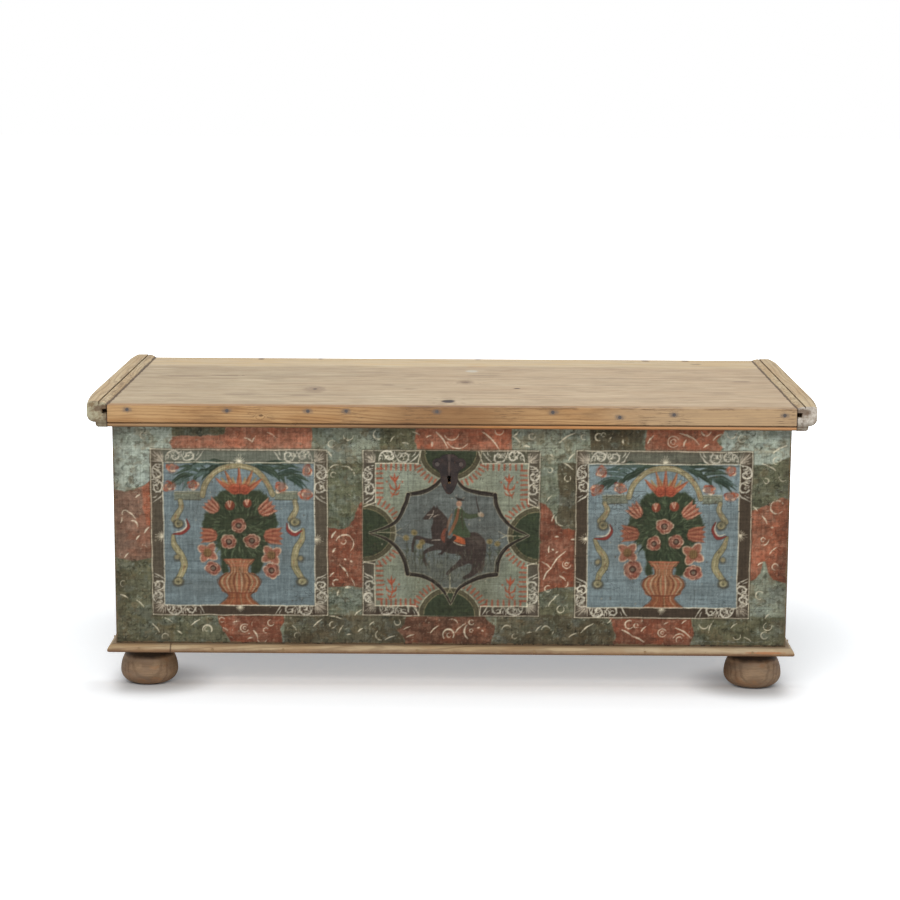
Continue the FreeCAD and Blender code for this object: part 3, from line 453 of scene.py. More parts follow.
def under(x, z):
    """The colour on the board at a place, 0 to 255."""
    column = min(max(int((x - paint_left) / net_pitch), 0), columns - 1)
    row = min(max(int((z - paint_bottom) / net_pitch), 0), rows - 1)
    return board[row, column] * 255


EDGE_WANDER = clouds(17, 17, 6, layers=4)
print("brushes ready")

# %% [markdown]
# ## The marbled ground
# Under the pictures lie patches of grey-green, olive and brick red, put on thinly so that the brush marks
# show. Cream dashes and small curls imitate marble. They are listed one by one, because a random scatter
# looks too even next to a real painter's rhythm.

# %% Colours of the painter's pots
CREAM = (205, 196, 172)
OLD_CREAM = (168, 162, 142)
PALE = (152, 160, 148)
PALE_GREEN = (127, 131, 115)
GREY_GREEN = (108, 111, 95)
OLIVE = (91, 89, 70)
DEEP_OLIVE = (79, 73, 58)
LEAF_GREEN = (93, 94, 75)
BRICK = (138, 88, 68)
DARK_BRICK = (108, 68, 53)
SKY = (109, 120, 121)
BOTTLE = (55, 61, 47)
FOLIAGE = (60, 68, 51)
UMBER = (57, 48, 41)
OCHRE = (146, 133, 98)

# %% The patches, from the back of the picture to the front
left, right = paint_left - 4, paint_right + 4
top, bottom = paint_top + 4, paint_bottom - 4
board[:] = np.array(GREY_GREEN) / 255
ground_patches = [
    (PALE, [left, top, -541, top, -538, 477, -560, 440, -582, 413, -600, 405, -618, 399, -636, 393, left,
     398]),
    (PALE_GREEN, [-272, top, -138, top, -140, 470, -165, 452, -200, 450, -245, 447, -270, 470]),
    (PALE_GREEN, [114, top, 268, top, 268, 470, 242, 452, 205, 449, 170, 455, 118, 474]),
    (PALE, [518, top, right, top, right, 470, 620, 452, 583, 446, 560, 470, 520, 478]),
    (LEAF_GREEN, [583, 452, 622, 455, right, 472, right, 385, 640, 388, 615, 376, 583, 364]),
    (OLIVE, [-541, top, -430, top, -440, 505, -480, 502, -541, 503]),
    ((152, 103, 82), [-541, 502, -500, 503, -440, 506, -428, top, -270, top, -268, 500, -272, 474, -400, 470,
     -538, 474, -546, 490]),
    (OLIVE, [-140, top, -68, top, -66, 500, -72, 474, -138, 474]),
    (BRICK, [-69, top, 117, top, 115, 500, 118, 474, -66, 474, -70, 495]),
    (DEEP_OLIVE, [264, top, 376, top, 368, 495, 372, 474, 268, 474]),
    (BRICK, [376, top, 528, top, 524, 512, 512, 500, 522, 486, 512, 474, 374, 474]),
    ((112, 90, 77), [left, 398, -636, 392, -616, 398, -600, 404, -585, 414, -576, 415, -576, 262, -610, 254,
     left, 258]),
    (BRICK, [-600, 404, -578, 418, -578, 325, -592, 330, -598, 360]),
    (OLIVE, [left, 262, -620, 256, -578, 264, -578, 86, left, 86]),
    (LEAF_GREEN, [-246, 452, -200, 450, -168, 455, -168, 374, -176, 372, -187, 346, -197, 326, -215, 322,
     -246, 326]),
    (DARK_BRICK, [-246, 327, -215, 322, -197, 325, -188, 345, -176, 373, -166, 378, -166, 205, -200, 208,
     -246, 204]),
    (GREY_GREEN, [168, 455, 205, 452, 246, 452, 246, 320, 214, 324, 202, 334, 196, 354, 184, 372, 168, 380]),
    (DEEP_OLIVE, [204, 455, 246, 455, 246, 320, 214, 325, 203, 335, 208, 380]),
    (DARK_BRICK, [168, 380, 184, 373, 197, 354, 203, 334, 215, 324, 246, 320, 246, 210, 205, 206, 190, 203,
     168, 196]),
    (OLIVE, [168, 196, 190, 203, 246, 209, 246, 86, 168, 86]),
    (BRICK, [583, 364, 615, 375, 640, 389, right, 386, right, 222, 640, 217, 625, 226, 616, 240, 612, 262,
     607, 262, 604, 240, 594, 227, 576, 216, 576, 362]),
    (DARK_BRICK, [628, 330, right, 345, right, 222, 640, 218, 628, 240, 636, 280]),
    (PALE_GREEN, [576, 216, 594, 227, 604, 241, 608, 262, 612, 262, 617, 240, 628, 225, right, 215, right,
     150, 576, 155]),
    (OLIVE, [left, 150, -455, 150, -450, 125, -430, 86, left, 86]),
    (DARK_BRICK, [-457, 151, -452, 130, -446, 118, -436, 104, -428, 86, -328, 86, -331, 105, -333, 120, -325,
     134, -326, 151]),
    (DEEP_OLIVE, [-325, 150, -90, 150, -93, 130, -103, 118, -92, 104, -85, 86, -328, 86]),
    ((90, 64, 51), [-88, 151, -91, 130, -104, 119, -94, 106, -84, 86, 74, 86, 86, 112, 88, 130, 70, 142, 66,
     151]),
    (DEEP_OLIVE, [88, 151, 90, 130, 86, 110, 76, 86, 320, 86, 322, 112, 316, 130, 306, 151]),
    (DARK_BRICK, [306, 151, 317, 131, 323, 114, 318, 98, 322, 86, 468, 86, 472, 104, 478, 116, 473, 130, 468,
     151]),
    (OLIVE, [470, 151, 474, 130, 479, 116, 472, 100, 470, 86, right, 86, right, 150])
]
for colour, outline in ground_patches:
    patch(outline, colour, edge=2.6, ragged=3.4, smooth=False)
board *= (1 + 0.13 * clouds(40, 40, 7, layers=3) + 0.09 * clouds(11, 11, 8))[..., None]
greens = np.clip(1.6 - 6 * (board[..., 0] - board[..., 1]) / board[..., 1], 0, 1)
for wide, tall, seed, level, strength, tint in ((70, 55, 9, 0.0, 0.22, PALE_GREEN),
        (30, 22, 14, 0.06, 0.24, SKY), (26, 24, 15, 0.10, 0.24, BOTTLE), (18, 15, 16, 0.12, 0.30,
        (104, 86, 62)), (9, 7, 17, 0.16, 0.38, (60, 56, 44)), (6, 6, 18, 0.24, 0.30, PALE)):
    blotch = np.clip((clouds(wide, tall, seed, layers=4) - level) * 4, 0, 1) * greens
    board += (blotch * strength)[..., None] * (np.array(tint) / 255 - board)
reds = 1 - greens
for wide, tall, seed, strength, tint in ((34, 28, 19, 0.32, (150, 84, 60)), (20, 16, 28, 0.34, (92, 66, 52)),
        (26, 12, 30, 0.30, (150, 116, 98)), (7, 6, 29, 0.34, (84, 62, 50)), (5, 5, 38, 0.26,
        (160, 130, 110))):
    blotch = np.clip((clouds(wide, tall, seed, layers=4) - 0.06) * 4, 0, 1) * reds
    board += (blotch * strength)[..., None] * (np.array(tint) / 255 - board)
print(len(ground_patches), "patches, mean colour", (board.mean((0, 1)) * 255).round())

# %% [markdown]
# Looked at closely, the patches are full of small curved touches, darker and lighter. Each one takes the
# colour that it lands on and only shades it.

# %% Small touches all over the ground
def dabble(amount, seed, area, length, width, shade, cover, greens_only=True, sweep=(50, 150)):
    dice = np.random.RandomState(seed)
    for _, x, z in scatter(dice, amount, *area):
        start, turn = dice.uniform(0, 360), dice.uniform(*sweep)
        radius, wide, tone = dice.uniform(*length), dice.uniform(*width), dice.uniform(*shade)
        local = under(x, z)
        if greens_only and local[0] > local[1] * 1.14:
            continue
        colour = np.clip(local * tone + (0, 1.5, 0), 0, 235)
        stroke(arc(x, z, radius, start, turn), [wide * 0.5, wide, wide * 0.4], colour, cover=cover, dry=0.2,
            steps=1)


whole_board = (left, bottom, right, top)
dabble(2300, 11, whole_board, (2.5, 6.5), (1.8, 3.6), (0.54, 0.76), 0.72)
dabble(1200, 12, whole_board, (2.0, 5.0), (1.4, 2.6), (1.16, 1.40), 0.58)
dabble(700, 13, whole_board, (2.0, 6.0), (1.2, 2.2), (0.66, 0.84), 0.6, greens_only=False)
print("the ground is mottled")

# %% Cream dashes: where each one starts and ends, and the brush's width
dashes = np.reshape([
    -400, 500, -385, 492, 2, -385, 492, -378, 503, 2, -243, 476, -232, 465, 4, -118, 495, -110, 505, 2,
    -95, 492, -82, 490, 2.5, -75, 513, -62, 508, 2, -38, 494, -38, 486, 4, -30, 514, -8, 483, 2.5,
    -48, 503, -40, 507, 2, 58, 516, 92, 480, 2.6, 128, 515, 118, 506, 2.6, 118, 506, 132, 494, 3,
    208, 494, 238, 513, 3, 140, 487, 151, 485, 3, 332, 492, 330, 501, 2.6, 305, 500, 308, 505, 2,
    378, 494, 388, 509, 3, 448, 489, 452, 501, 3, 440, 514, 462, 504, 1.8, 452, 512, 478, 492, 1.8,
    487, 487, 496, 492, 3, 505, 501, 521, 513, 2.5, 622, 477, 646, 491, 3, -612, 382, -604, 388, 3,
    -632, 356, -613, 340, 2.4, -596, 312, -588, 323, 4, -612, 298, -605, 306, 3, -636, 262, -628, 272, 2.4,
    -646, 188, -632, 181, 3, -614, 177, -600, 164, 2, -640, 342, -643, 331, 2, -232, 305, -225, 317, 4,
    -230, 276, -226, 283, 4, -217, 250, -200, 228, 2.8, -194, 224, -188, 209, 1.8, -208, 262, -205, 260, 3,
    -196, 258, -193, 256, 3, -236, 228, -229, 235, 3, -205, 205, -197, 205, 4.5, -222, 189, -219, 199, 3,
    -188, 149, -175, 160, 2.6, -238, 147, -214, 143, 2.6, 226, 461, 237, 473, 3, 212, 457, 235, 442, 2.2,
    190, 471, 195, 467, 2.6, 186, 379, 194, 389, 2, 195, 340, 201, 352, 2.4, 202, 309, 209, 309, 3,
    234, 304, 246, 303, 3, 190, 278, 191, 290, 2.4, 197, 284, 200, 282, 3, 204, 277, 208, 279, 2.4,
    180, 224, 195, 246, 3, 195, 246, 223, 280, 2.6, 178, 259, 195, 246, 2.2, 212, 231, 224, 221, 2.6,
    200, 184, 210, 193, 2.4, 190, 170, 200, 184, 2.2, 603, 352, 613, 338, 3, 622, 331, 626, 330, 3,
    620, 277, 633, 290, 2.6, 600, 455, 616, 449, 2.4, 616, 449, 627, 442, 2.4, 598, 256, 607, 261, 3,
    586, 371, 593, 363, 3, 614, 149, 622, 157, 2.4, -585, 130, -571, 112, 2.2, -536, 116, -527, 110, 2.8,
    -508, 127, -491, 139, 2.6, -425, 133, -414, 136, 2.4, -386, 117, -378, 101, 3, -445, 122, -436, 116, 2,
    -398, 100, -388, 103, 3, -268, 127, -252, 141, 2.4, -219, 114, -211, 129, 2, -203, 110, -196, 111, 2.4,
    -181, 117, -173, 123, 3, -128, 101, -110, 108, 2.4, -92, 121, -80, 127, 2, -86, 106, -72, 111, 2.4,
    -40, 115, -25, 129, 2.6, 10, 116, 20, 127, 2.6, 20, 127, 29, 134, 2, 52, 125, 56, 126, 2.6,
    60, 121, 63, 119, 2.6, 255, 117, 279, 136, 2.8, 199, 114, 201, 119, 2, 150, 117, 158, 118, 2.2,
    314, 146, 306, 137, 2.2, 373, 121, 382, 130, 2.8, 335, 124, 355, 111, 2.8, 355, 111, 379, 99, 3,
    418, 136, 424, 139, 2.2, 440, 128, 470, 109, 2.8, 452, 138, 460, 144, 2.4, 505, 119, 514, 143, 2.2,
    -356, 511, -340, 500, 1.6, 166, 120, 176, 130, 1.8, 232, 108, 246, 116, 2, 548, 128, 560, 138, 2,
    -160, 128, -150, 136, 2, -310, 128, -302, 118, 1.8, 575, 110, 588, 102, 2, -560, 142, -546, 134, 1.8
], (-1, 5))
for x0, z0, x1, z1, width in dashes:
    middle = (x0 + x1) / 2 - (z1 - z0) * 0.08, (z0 + z1) / 2 + (x1 - x0) * 0.06
    stroke([x0, z0, *middle, x1, z1], [width * 0.55, width, width * 0.4], CREAM, cover=0.9, dry=0.3)
print(len(dashes), "dashes")

# %% Curls: middle, radius, where the curl starts and how far it turns, and the brush's width
curls = np.reshape([
    -595, 503, 6, 20, 250, 1.6, -200, 506, 9, 180, 190, 2.2, -231, 490, 7, 40, 280, 2,
    -142, 508, 9, 120, 190, 2.6, 0, 512, 14, 200, 150, 2, 12, 506, 24, 210, 110, 2, 92, 517, 8, 180, 180, 2,
    155, 506, 6, 60, 300, 2, 284, 506, 7, 70, 220, 3, 293, 510, 4, 0, 300, 1.8, 428, 497, 5, 0, 300, 2,
    428, 497, 11, 30, 290, 1.6, 491, 518, 9, 190, 160, 3, 540, 514, 9, 180, 190, 2.6,
    560, 504, 7, 30, 300, 1.6, -620, 326, 10, 350, 110, 3, -633, 350, 6, 90, 120, 2,
    -222, 430, 18, 80, 120, 2.2, -229, 429, 5, 20, 280, 1.8, -208, 424, 22, 10, 90, 2.4,
    -207, 292, 18, 55, 105, 3.2, -207, 292, 17, 310, 100, 2, -210, 296, 5, 200, 200, 2,
    -224, 214, 7, 60, 170, 3.6, -231, 130, 6, 90, 250, 2.4, 190, 441, 5, 180, 300, 2,
    225, 424, 6, 120, 280, 2.2, 216, 344, 13, 160, 110, 2.4, 226, 255, 8, 150, 200, 2.2,
    226, 255, 3, 0, 300, 2.6, 189, 205, 6, 60, 270, 2.2, 214, 164, 7, 100, 300, 2.2,
    222, 216, 7, 280, 100, 2.2, 632, 370, 13, 30, 70, 3, 632, 370, 13, 130, 190, 3, 629, 461, 7, 60, 210, 2.2,
    632, 463, 4, 250, 220, 1.8, 609, 422, 5, 180, 300, 2, 606, 306, 4, 0, 330, 2.6,
    607, 306, 11, 250, 110, 2.4, 631, 252, 6, 10, 260, 2.2, 603, 194, 8, 40, 240, 2.4,
    -477, 118, 9, 330, 230, 4, -478, 119, 4, 90, 200, 2, -447, 139, 5, 20, 300, 2.4,
    -403, 122, 8, 50, 280, 2.4, -403, 122, 3, 0, 320, 2, -352, 133, 6, 100, 260, 2.2,
    -370, 101, 9, 200, 140, 2.6, -362, 118, 5, 40, 240, 1.8, -137, 110, 10, 130, 150, 2.4,
    -105, 136, 6, 150, 260, 1.8, -5, 111, 11, 330, 250, 3.8, -4, 110, 4, 90, 240, 2,
    47, 118, 20, 140, 90, 3.8, 41, 136, 5, 40, 300, 2.4, 40, 119, 3, 0, 320, 2, 2, 131, 12, 20, 100, 2.2,
    110, 122, 9, 40, 130, 2.4, 186, 121, 9, 30, 140, 2.2, 125, 108, 5, 100, 220, 1.8, 349, 134, 8, 60, 260, 3,
    362, 132, 4, 0, 300, 2.4, 414, 118, 8, 30, 300, 2.4, 414, 118, 3, 0, 330, 2, 448, 104, 12, 40, 120, 2.4,
    448, 104, 6, 20, 200, 2, 496, 136, 9, 180, 170, 2.2, 615, 114, 7, 60, 260, 2, 620, 132, 8, 120, 250, 1.8,
    -640, 210, 6, 60, 200, 1.6, -300, 108, 6, 30, 200, 1.6, 560, 112, 7, 200, 180, 1.8,
    -560, 104, 6, 20, 200, 1.8, 255, 505, 5, 40, 260, 1.6, 642, 430, 8, 180, 130, 1.8], (-1, 6))
for x, z, radius, start, sweep, width in curls:
    stroke(arc(x, z, radius, start, sweep), [width * 0.5, width * 0.95, width * 0.4], CREAM, cover=0.86,
        dry=0.33)
dice = np.random.RandomState(27)
for _, x, z in scatter(dice, 330, *whole_board):
    start, length = dice.choice([35, 50, 125, 150, 90]) + dice.uniform(-20, 20), dice.uniform(3, 9)
    stroke(arc(x, z, length, start, dice.uniform(20, 70)), [0.6, dice.uniform(1.1, 2.0), 0.4], OLD_CREAM,
        cover=dice.uniform(0.4, 0.85), dry=0.35, steps=1)
print(len(curls), "curls")

# %% A worn blue line along the foot of the front, with a dark line of painted shadow below it, above the plinth
for start in np.arange(470, 612, 9.0):
    stroke([(start, 100.5 + 1.2 * math.sin(start)), (start + 6, 100.0)], [1.2, 2.2, 1.0], (132, 138, 136),
        cover=0.55)
# The dark line is painted shadow under the front's lower edge, where it meets the plinth.
stroke([left, 92.5, 0, 92, right, 92.5], 3.0, UMBER, cover=0.75, dry=0.15)

# %% [markdown]
# ## The three painted frames
# Each picture has a dark band between two cream lines, with white leaf scrolls at the corners and a small
# shell in the middle of each side. One scroll is drawn in steps along and across the band, so that it can
# run either way from any corner.

# %% Frames and their scrolls
def box(x0, z0, x1, z1, grow=0.0):
    """The four corners of a box."""
    return [(x0 - grow, z0 - grow), (x1 + grow, z0 - grow), (x1 + grow, z1 + grow), (x0 - grow, z1 + grow)]


def line_round(corners, width, colour, dry=0.3):
    for (x0, z0), (x1, z1) in zip(corners, corners[1:] + corners[:1]):
        stroke([(x0, z0), ((x0 + x1) / 2, (z0 + z1) / 2), (x1, z1)], width, colour, cover=0.78, dry=dry,
            steps=2)


def scroll(corner, along, over, band, reach, width=2.5, cover=0.9):
    """Two leaf curls and a tail, from a corner of the frame towards the middle of one side."""
    def at(u, v):
        return np.array(corner) + np.array(along) * u * reach + np.array(over) * v * band

    hand = along[0] * over[1] - along[1] * over[0]
    seed = abs(corner[0]) + abs(corner[1]) * 3 + reach * 7 + along[0] * 5 + 50
    dice = np.random.RandomState(int(seed) % 9973)

    def lick(points, widths, side=0, fingers=7, finger_length=4.6):
        path = [at(u + dice.uniform(-0.012, 0.012), v + dice.uniform(-0.04, 0.04))
                for u, v in np.reshape(points, (-1, 2))]
        shade = np.array((198, 192, 174)) * dice.uniform(0.84, 1.0)
        stroke(path, [w * width for w in widths], shade, cover=cover, dry=0.3)
        if side:
            line = curve_through(path, 4)
            for share in np.linspace(0.03, 0.82, fingers):
                first = int(share * (len(line) - 2))
                ahead = line[first + 1] - line[first]
                step = ahead / (np.linalg.norm(ahead) + 1e-9)
                outwards = np.array((-step[1], step[0])) * side * hand
                tip = line[first] + outwards * finger_length * dice.uniform(0.5, 1.3)
                tip = tip + step * dice.uniform(1.0, 4.0)
                stroke([line[first], (line[first] + tip) / 2 + step * 0.8, tip], [1.6, 2.4, 0.6], shade,
                    cover=cover * 0.9, dry=0.3, steps=2)

    lick([0.27, 0.92, 0.29, 0.45, 0.36, 0.12, 0.46, 0.10, 0.53, 0.36, 0.51, 0.70, 0.45, 0.80, 0.40, 0.62,
        0.43, 0.42, 0.47, 0.48], [0.5, 0.9, 1.4, 1.2, 1.0, 0.8, 0.5], 1, 9)
    lick([0.31, 0.36, 0.34, 0.55, 0.33, 0.78], [0.5, 1.1, 0.4])
    lick([0.35, 0.26, 0.385, 0.45, 0.375, 0.74], [0.5, 1.0, 0.4])
    lick([0.41, 0.20, 0.44, 0.30], [0.9, 0.4])
    lick([0.56, 0.08, 0.575, 0.45, 0.64, 0.86, 0.73, 0.92, 0.79, 0.66, 0.77, 0.32, 0.71, 0.24, 0.67, 0.40,
        0.70, 0.56, 0.73, 0.48], [0.4, 0.8, 1.3, 1.2, 1.0, 0.8, 0.5], 1, 9, 4.2)
    lick([0.62, 0.66, 0.66, 0.50, 0.655, 0.26], [0.4, 1.0, 0.4])
    lick([0.59, 0.52, 0.615, 0.36, 0.61, 0.16], [0.4, 0.9, 0.4])
    lick([0.83, 0.94, 0.88, 0.80, 0.93, 0.45, 0.985, 0.10], [0.5, 1.1, 0.9, 0.3])
    lick([0.86, 0.50, 0.89, 0.30, 0.90, 0.10], [0.3, 0.8, 0.3])
    for number in range(11):
        x, z = at(dice.uniform(0.26, 0.80), dice.uniform(0.15, 0.85))
        stroke(arc(x, z, dice.uniform(1.6, 3.6), dice.uniform(0, 360), dice.uniform(60, 150)),
            [0.7, 1.8, 0.6], CREAM, cover=dice.uniform(0.35, 0.75), dry=0.3, steps=2)


def corner_shell(corner, along, over, band):
    """Soft pale fingers spreading from the picture's corner to the frame's corner."""
    dice = np.random.RandomState(int(abs(corner[0]) + abs(corner[1])))
    corner, along, over = np.array(corner), np.array(along), np.array(over)
    dab(*(corner + band * 0.5 * (along + over)), band, band, (122, 116, 102), cover=0.4, edge=8)
    for turn in (4, 20, 34, 46, 60, 74, 88):
        a = math.radians(turn + dice.uniform(-4, 4))
        length = (1.12 if 30 < turn < 50 else 0.88) * dice.uniform(0.8, 1.05)
        points = [corner + band * (along * (1 - r * math.cos(a)) + over * (1 - r * math.sin(a)))
                  for r in (0.08, length * 0.6, length)]
        stroke(points, [1.2, 3.0, 1.0], (182, 172, 154), cover=dice.uniform(0.5, 0.75), dry=0.35)


def side_shell(x, z, towards_x, towards_z, size=14):
    """The white splash of a shell in the middle of a side, opening away from the picture."""
    heading = math.degrees(math.atan2(towards_z, towards_x))
    for turn in (-78, -56, -34, -14, 6, 26, 48, 72):
        length = size * (1.05 if abs(turn) < 20 else 0.78)
        stroke([ray(x, z, 1, heading + turn), ray(x, z, length, heading + turn)], [2.8, 2.4, 1.0], CREAM,
            cover=0.58, dry=0.4)
    dab(x, z, 7, 6, CREAM, cover=0.5, dry=0.3, edge=4)


def frame_band(outer, inner, side_colour, top_colour, low_colour):
    x0, z0, x1, z1 = outer
    patch(box(*outer), side_colour, smooth=False, edge=2.2)
    patch(box(x0 + 20, inner[3] - 1, x1 - 20, z1), top_colour, cover=0.85, edge=14, smooth=False)
    patch(box(x0, z0, x1, inner[1] + 1), low_colour, cover=0.85, edge=3, smooth=False)
    area = (x0 + 3, z0 + 3, x1 - 3, z1 - 3)
    dabble(130, int(abs(x0)), area, (1.5, 4.0), (1.0, 1.8), (0.70, 0.86), 0.5, greens_only=False)
    line_round(box(*outer, 1.6), 1.6, (58, 52, 42), dry=0.4)
    line_round(box(*outer), 1.7, CREAM, dry=0.30)


left_outer, left_inner = (-582.5, 148.5, -241, 477), (-559, 167.5, -265, 451.5)
middle_outer, middle_inner = (-171.5, 149.5, 171, 477), (-147, 168, 149, 452)
right_outer, right_inner = (242, 148, 581.5, 478), (265, 168, 558, 453)
frame_band(left_outer, left_inner, (80, 73, 62), (101, 105, 94), (66, 56, 47))
frame_band(middle_outer, middle_inner, (78, 72, 62), (84, 84, 70), (60, 50, 43))
frame_band(right_outer, right_inner, (69, 60, 50), (98, 99, 87), (66, 57, 48))
print("frames", left_outer, middle_outer, right_outer)


# %% Scrolls run both ways from each corner
def dress_frame(outer, reach_side, reach_top, band, white=0.9):
    x0, z0, x1, z1 = outer
    for z, up_way, shorter in ((z1, -1, 1.0), (z0, 1, 0.8)):
        for x, right_way in ((x0, 1), (x1, -1)):
            scroll((x, z), (right_way, 0), (0, up_way), band, reach_top, cover=white)
            scroll((x, z), (0, up_way), (right_way, 0), band, reach_side * shorter, cover=white)
            corner_shell((x, z), (right_way, 0), (0, up_way), band)


dress_frame(left_outer, 106, 104, 24, 0.78)
dress_frame(right_outer, 100, 104, 24, 0.95)
dress_frame(middle_outer, 108, 112, 23, 0.92)
for outer, inner in ((left_outer, left_inner), (right_outer, right_inner)):
    middle_x, middle_z = (outer[0] + outer[2]) / 2, (outer[1] + outer[3]) / 2 - 8
    side_shell(middle_x + 1, inner[3] + 2, 0, 1)
    side_shell(middle_x, inner[1] - 2, 0, -1, 11)
    side_shell(inner[0] - 2, middle_z, -1, 0)
    side_shell(inner[2] + 2, middle_z - 4 + 12 * (inner[0] > 0), 1, 0)
for x0, z0, x1, z1 in (left_inner, right_inner):
    patch(box(x0, z0, x1, z1), SKY, smooth=False, edge=2)
    dabble(240, int(abs(x1)), (x0 + 4, z0 + 4, x1 - 4, z1 - 4), (3, 9), (1.0, 2.4), (0.80, 0.93), 0.5,
        sweep=(15, 50))
    dabble(120, int(abs(x0)), (x0 + 4, z0 + 4, x1 - 4, z1 - 4), (2, 7), (1.0, 2.2), (1.06, 1.14), 0.5,
        sweep=(15, 50))
print("scrolls and shells drawn")

# %% [markdown]
# ## The side pictures: a bouquet under an arch
# Both show the same thing, painted freehand twice: a footed vase with a pyramid of flowers, an ochre arch
# and garlands above. So the bouquet is one function, with a table of the places where the two differ.

# %% Flowers
def turned(x, z, size, heading):
    """A small drawing frame: steps along and across a heading become places on the board."""
    cos, sin = math.cos(math.radians(heading)), math.sin(math.radians(heading))
    return lambda u, v: (x + size * (u * cos - v * sin), z + size * (u * sin + v * cos))


def rose(x, z, size, tall=1.0):
    """A round rose, no two alike: uneven petals with pale rims, a broad dark ring and a grey-green heart."""
    dice = np.random.RandomState(int(abs(x) * 13 + z * 7 + size) % 9973)
    dab(x, z, size * 0.94, size * 0.94 * tall, (112, 72, 60), cover=0.9, edge=3)
    first = dice.uniform(0, 360)
    petals = dice.randint(5, 8)
    for number in range(petals):
        turn = first + 360 / petals * number + dice.uniform(-14, 14)
        radius, reach = size * dice.uniform(0.15, 0.24), size * dice.uniform(0.27, 0.32)
        px, pz = ray(x, z, reach, turn, tall)
        petal = ((150, 112, 94), (136, 90, 76), (126, 78, 64))[number % 3]
        rim = ((190, 170, 146), (170, 142, 120), (182, 160, 134))[number % 3]
        dab(px, pz, radius * 2, radius * 1.9 * tall, petal, cover=0.7, dry=0.25, edge=3.5)
        path = arc(px, pz, radius, turn - 80, dice.uniform(110, 170), tall)
        widths = [0.8, dice.uniform(1.8, 2.8), 0.8]
        stroke(path, widths, rim, cover=dice.uniform(0.55, 0.85), dry=0.3)
        stroke(arc(px, pz, radius * 0.5, turn - 60, 120, tall), [0.8, 1.8, 0.8], (98, 58, 48), cover=0.65,
            dry=0.3)
    for start in (first, first + 150, first + 250):
        stroke(arc(x, z, size * 0.24, start, 80, tall), [0.8, 2.2, 0.8], (172, 144, 122), cover=0.65, dry=0.3)
    stroke(arc(x, z, size * 0.15, first, 330), [2.0, 3.6, 2.4], (60, 46, 40), cover=0.85, dry=0.1)
    dab(x, z, size * 0.19, size * 0.18, (100, 102, 88), cover=0.8, edge=3)


def small_rose(x, z, size, tall=1.0):
    """A loose garland rose: a few curved dabs of orange red and cream, none of them closed."""
    dice = np.random.RandomState(int(abs(x) * 5 + z) % 9973)
    dab(x, z, size * 0.92, size * 0.9 * tall, (134, 90, 72), cover=0.65, dry=0.3, edge=5)
    for number in range(9):
        turn, reach = dice.uniform(0, 360), size * dice.uniform(0.10, 0.36)
        px, pz = ray(x, z, reach, turn, tall)
        shade = ((150, 80, 58), (200, 180, 154), (114, 60, 50), (176, 128, 104))[number % 4]
        stroke(arc(px, pz, size * dice.uniform(0.12, 0.20), turn - 80, dice.uniform(100, 170), tall),
            [1.0, size * 0.15, 1.0], shade, cover=0.75, dry=0.25)


def bud(x, z, size):
    """A dark red bud that opens upwards with white tips."""
    dab(x, z, size, size, (116, 62, 48), cover=0.9, edge=3)
    for turn, shade in ((62, (158, 98, 66)), (80, (200, 182, 158)), (97, (150, 92, 74)),
            (112, (204, 186, 162)), (132, (176, 140, 118)), (40, (98, 54, 44))):
        stroke([(ray(x, z, size * 0.1, turn)[0], z - size * 0.2), ray(x, z, size * 0.5, turn, 0.88)],
            [1.0, 2.4], shade, cover=0.7, dry=0.3)


def tulip(x, z, size, heading, colour, light):
    """A tulip on its side: a round cup, open at four points and striped along. The place is its heart."""
    at = turned(x, z, size, heading)
    half = [(0.02, 0.30), (0.28, 0.43), (0.62, 0.44), (1.0, 0.50), (0.80, 0.27), (1.04, 0.16)]
    patch([at(u, v) for u, v in [(-0.08, 0)] + half + [(0.82, 0)] + [(u, -v) for u, v in half[::-1]]], colour,
        smooth=False, edge=2.6)
    for v, shade in ((-0.40, light), (-0.27, (98, 56, 45)), (-0.13, light), (0.0, (98, 56, 45)),
            (0.15, light), (0.28, (98, 56, 45)), (0.41, light)):
        stroke([at(0.04, v * 0.6), at(0.5, v), at(0.9, v * 1.1)], [1.0, 2.5, 1.2], shade, cover=0.6, dry=0.3)
    stroke([at(0.9, -0.5), at(0.3, -0.45), at(-0.08, -0.06)], [0.8, 1.8, 1.8], (84, 54, 44), cover=0.6,
        dry=0.3)


def star_flower(x, z, size, lean=0):
    """Four broad petals with a wide pale rim round a hatched ochre heart."""
    outline = []
    for number in range(4):
        for turn, reach in ((-45, 0.37), (-20, 0.55), (0, 0.66), (20, 0.53)):
            outline.append(ray(x, z, size * reach, 90 * number + 45 + lean + turn))
    patch(outline, (142, 94, 76), edge=2.6, cover=0.92)
    stroke(outline + outline[:1], 2.8, (184, 160, 136), cover=0.7, dry=0.35)
    for number in range(8):
        turn = 45 * number + lean + 8
        stroke([ray(x, z, size * 0.2, turn), ray(x, z, size * 0.42, turn)], [1.2, 2.2], (118, 66, 52),
            cover=0.6, dry=0.3)
    dab(x, z, size * 0.5, size * 0.52, (112, 92, 62), cover=0.9, edge=4)
    for shift in (-0.16, -0.05, 0.06, 0.17):
        stroke([(x + shift * size, z - size * 0.2), (x + shift * size + 1, z + size * 0.2)], 1.3,
            (76, 62, 44), cover=0.6)
    stroke(arc(x, z, size * 0.24, 190, 200), [0.8, 1.8, 0.8], (80, 56, 42), cover=0.6, dry=0.3)


def leaf(x, z, length, heading, width=5, colour=FOLIAGE, cover=0.85, bend=12):
    stroke([(x, z), ray(x, z, 0.5 * length, heading), ray(x, z, length, heading + bend)],
        [width * 0.5, width, 0.6], colour, cover=cover, dry=0.12)


print("flowers ready")


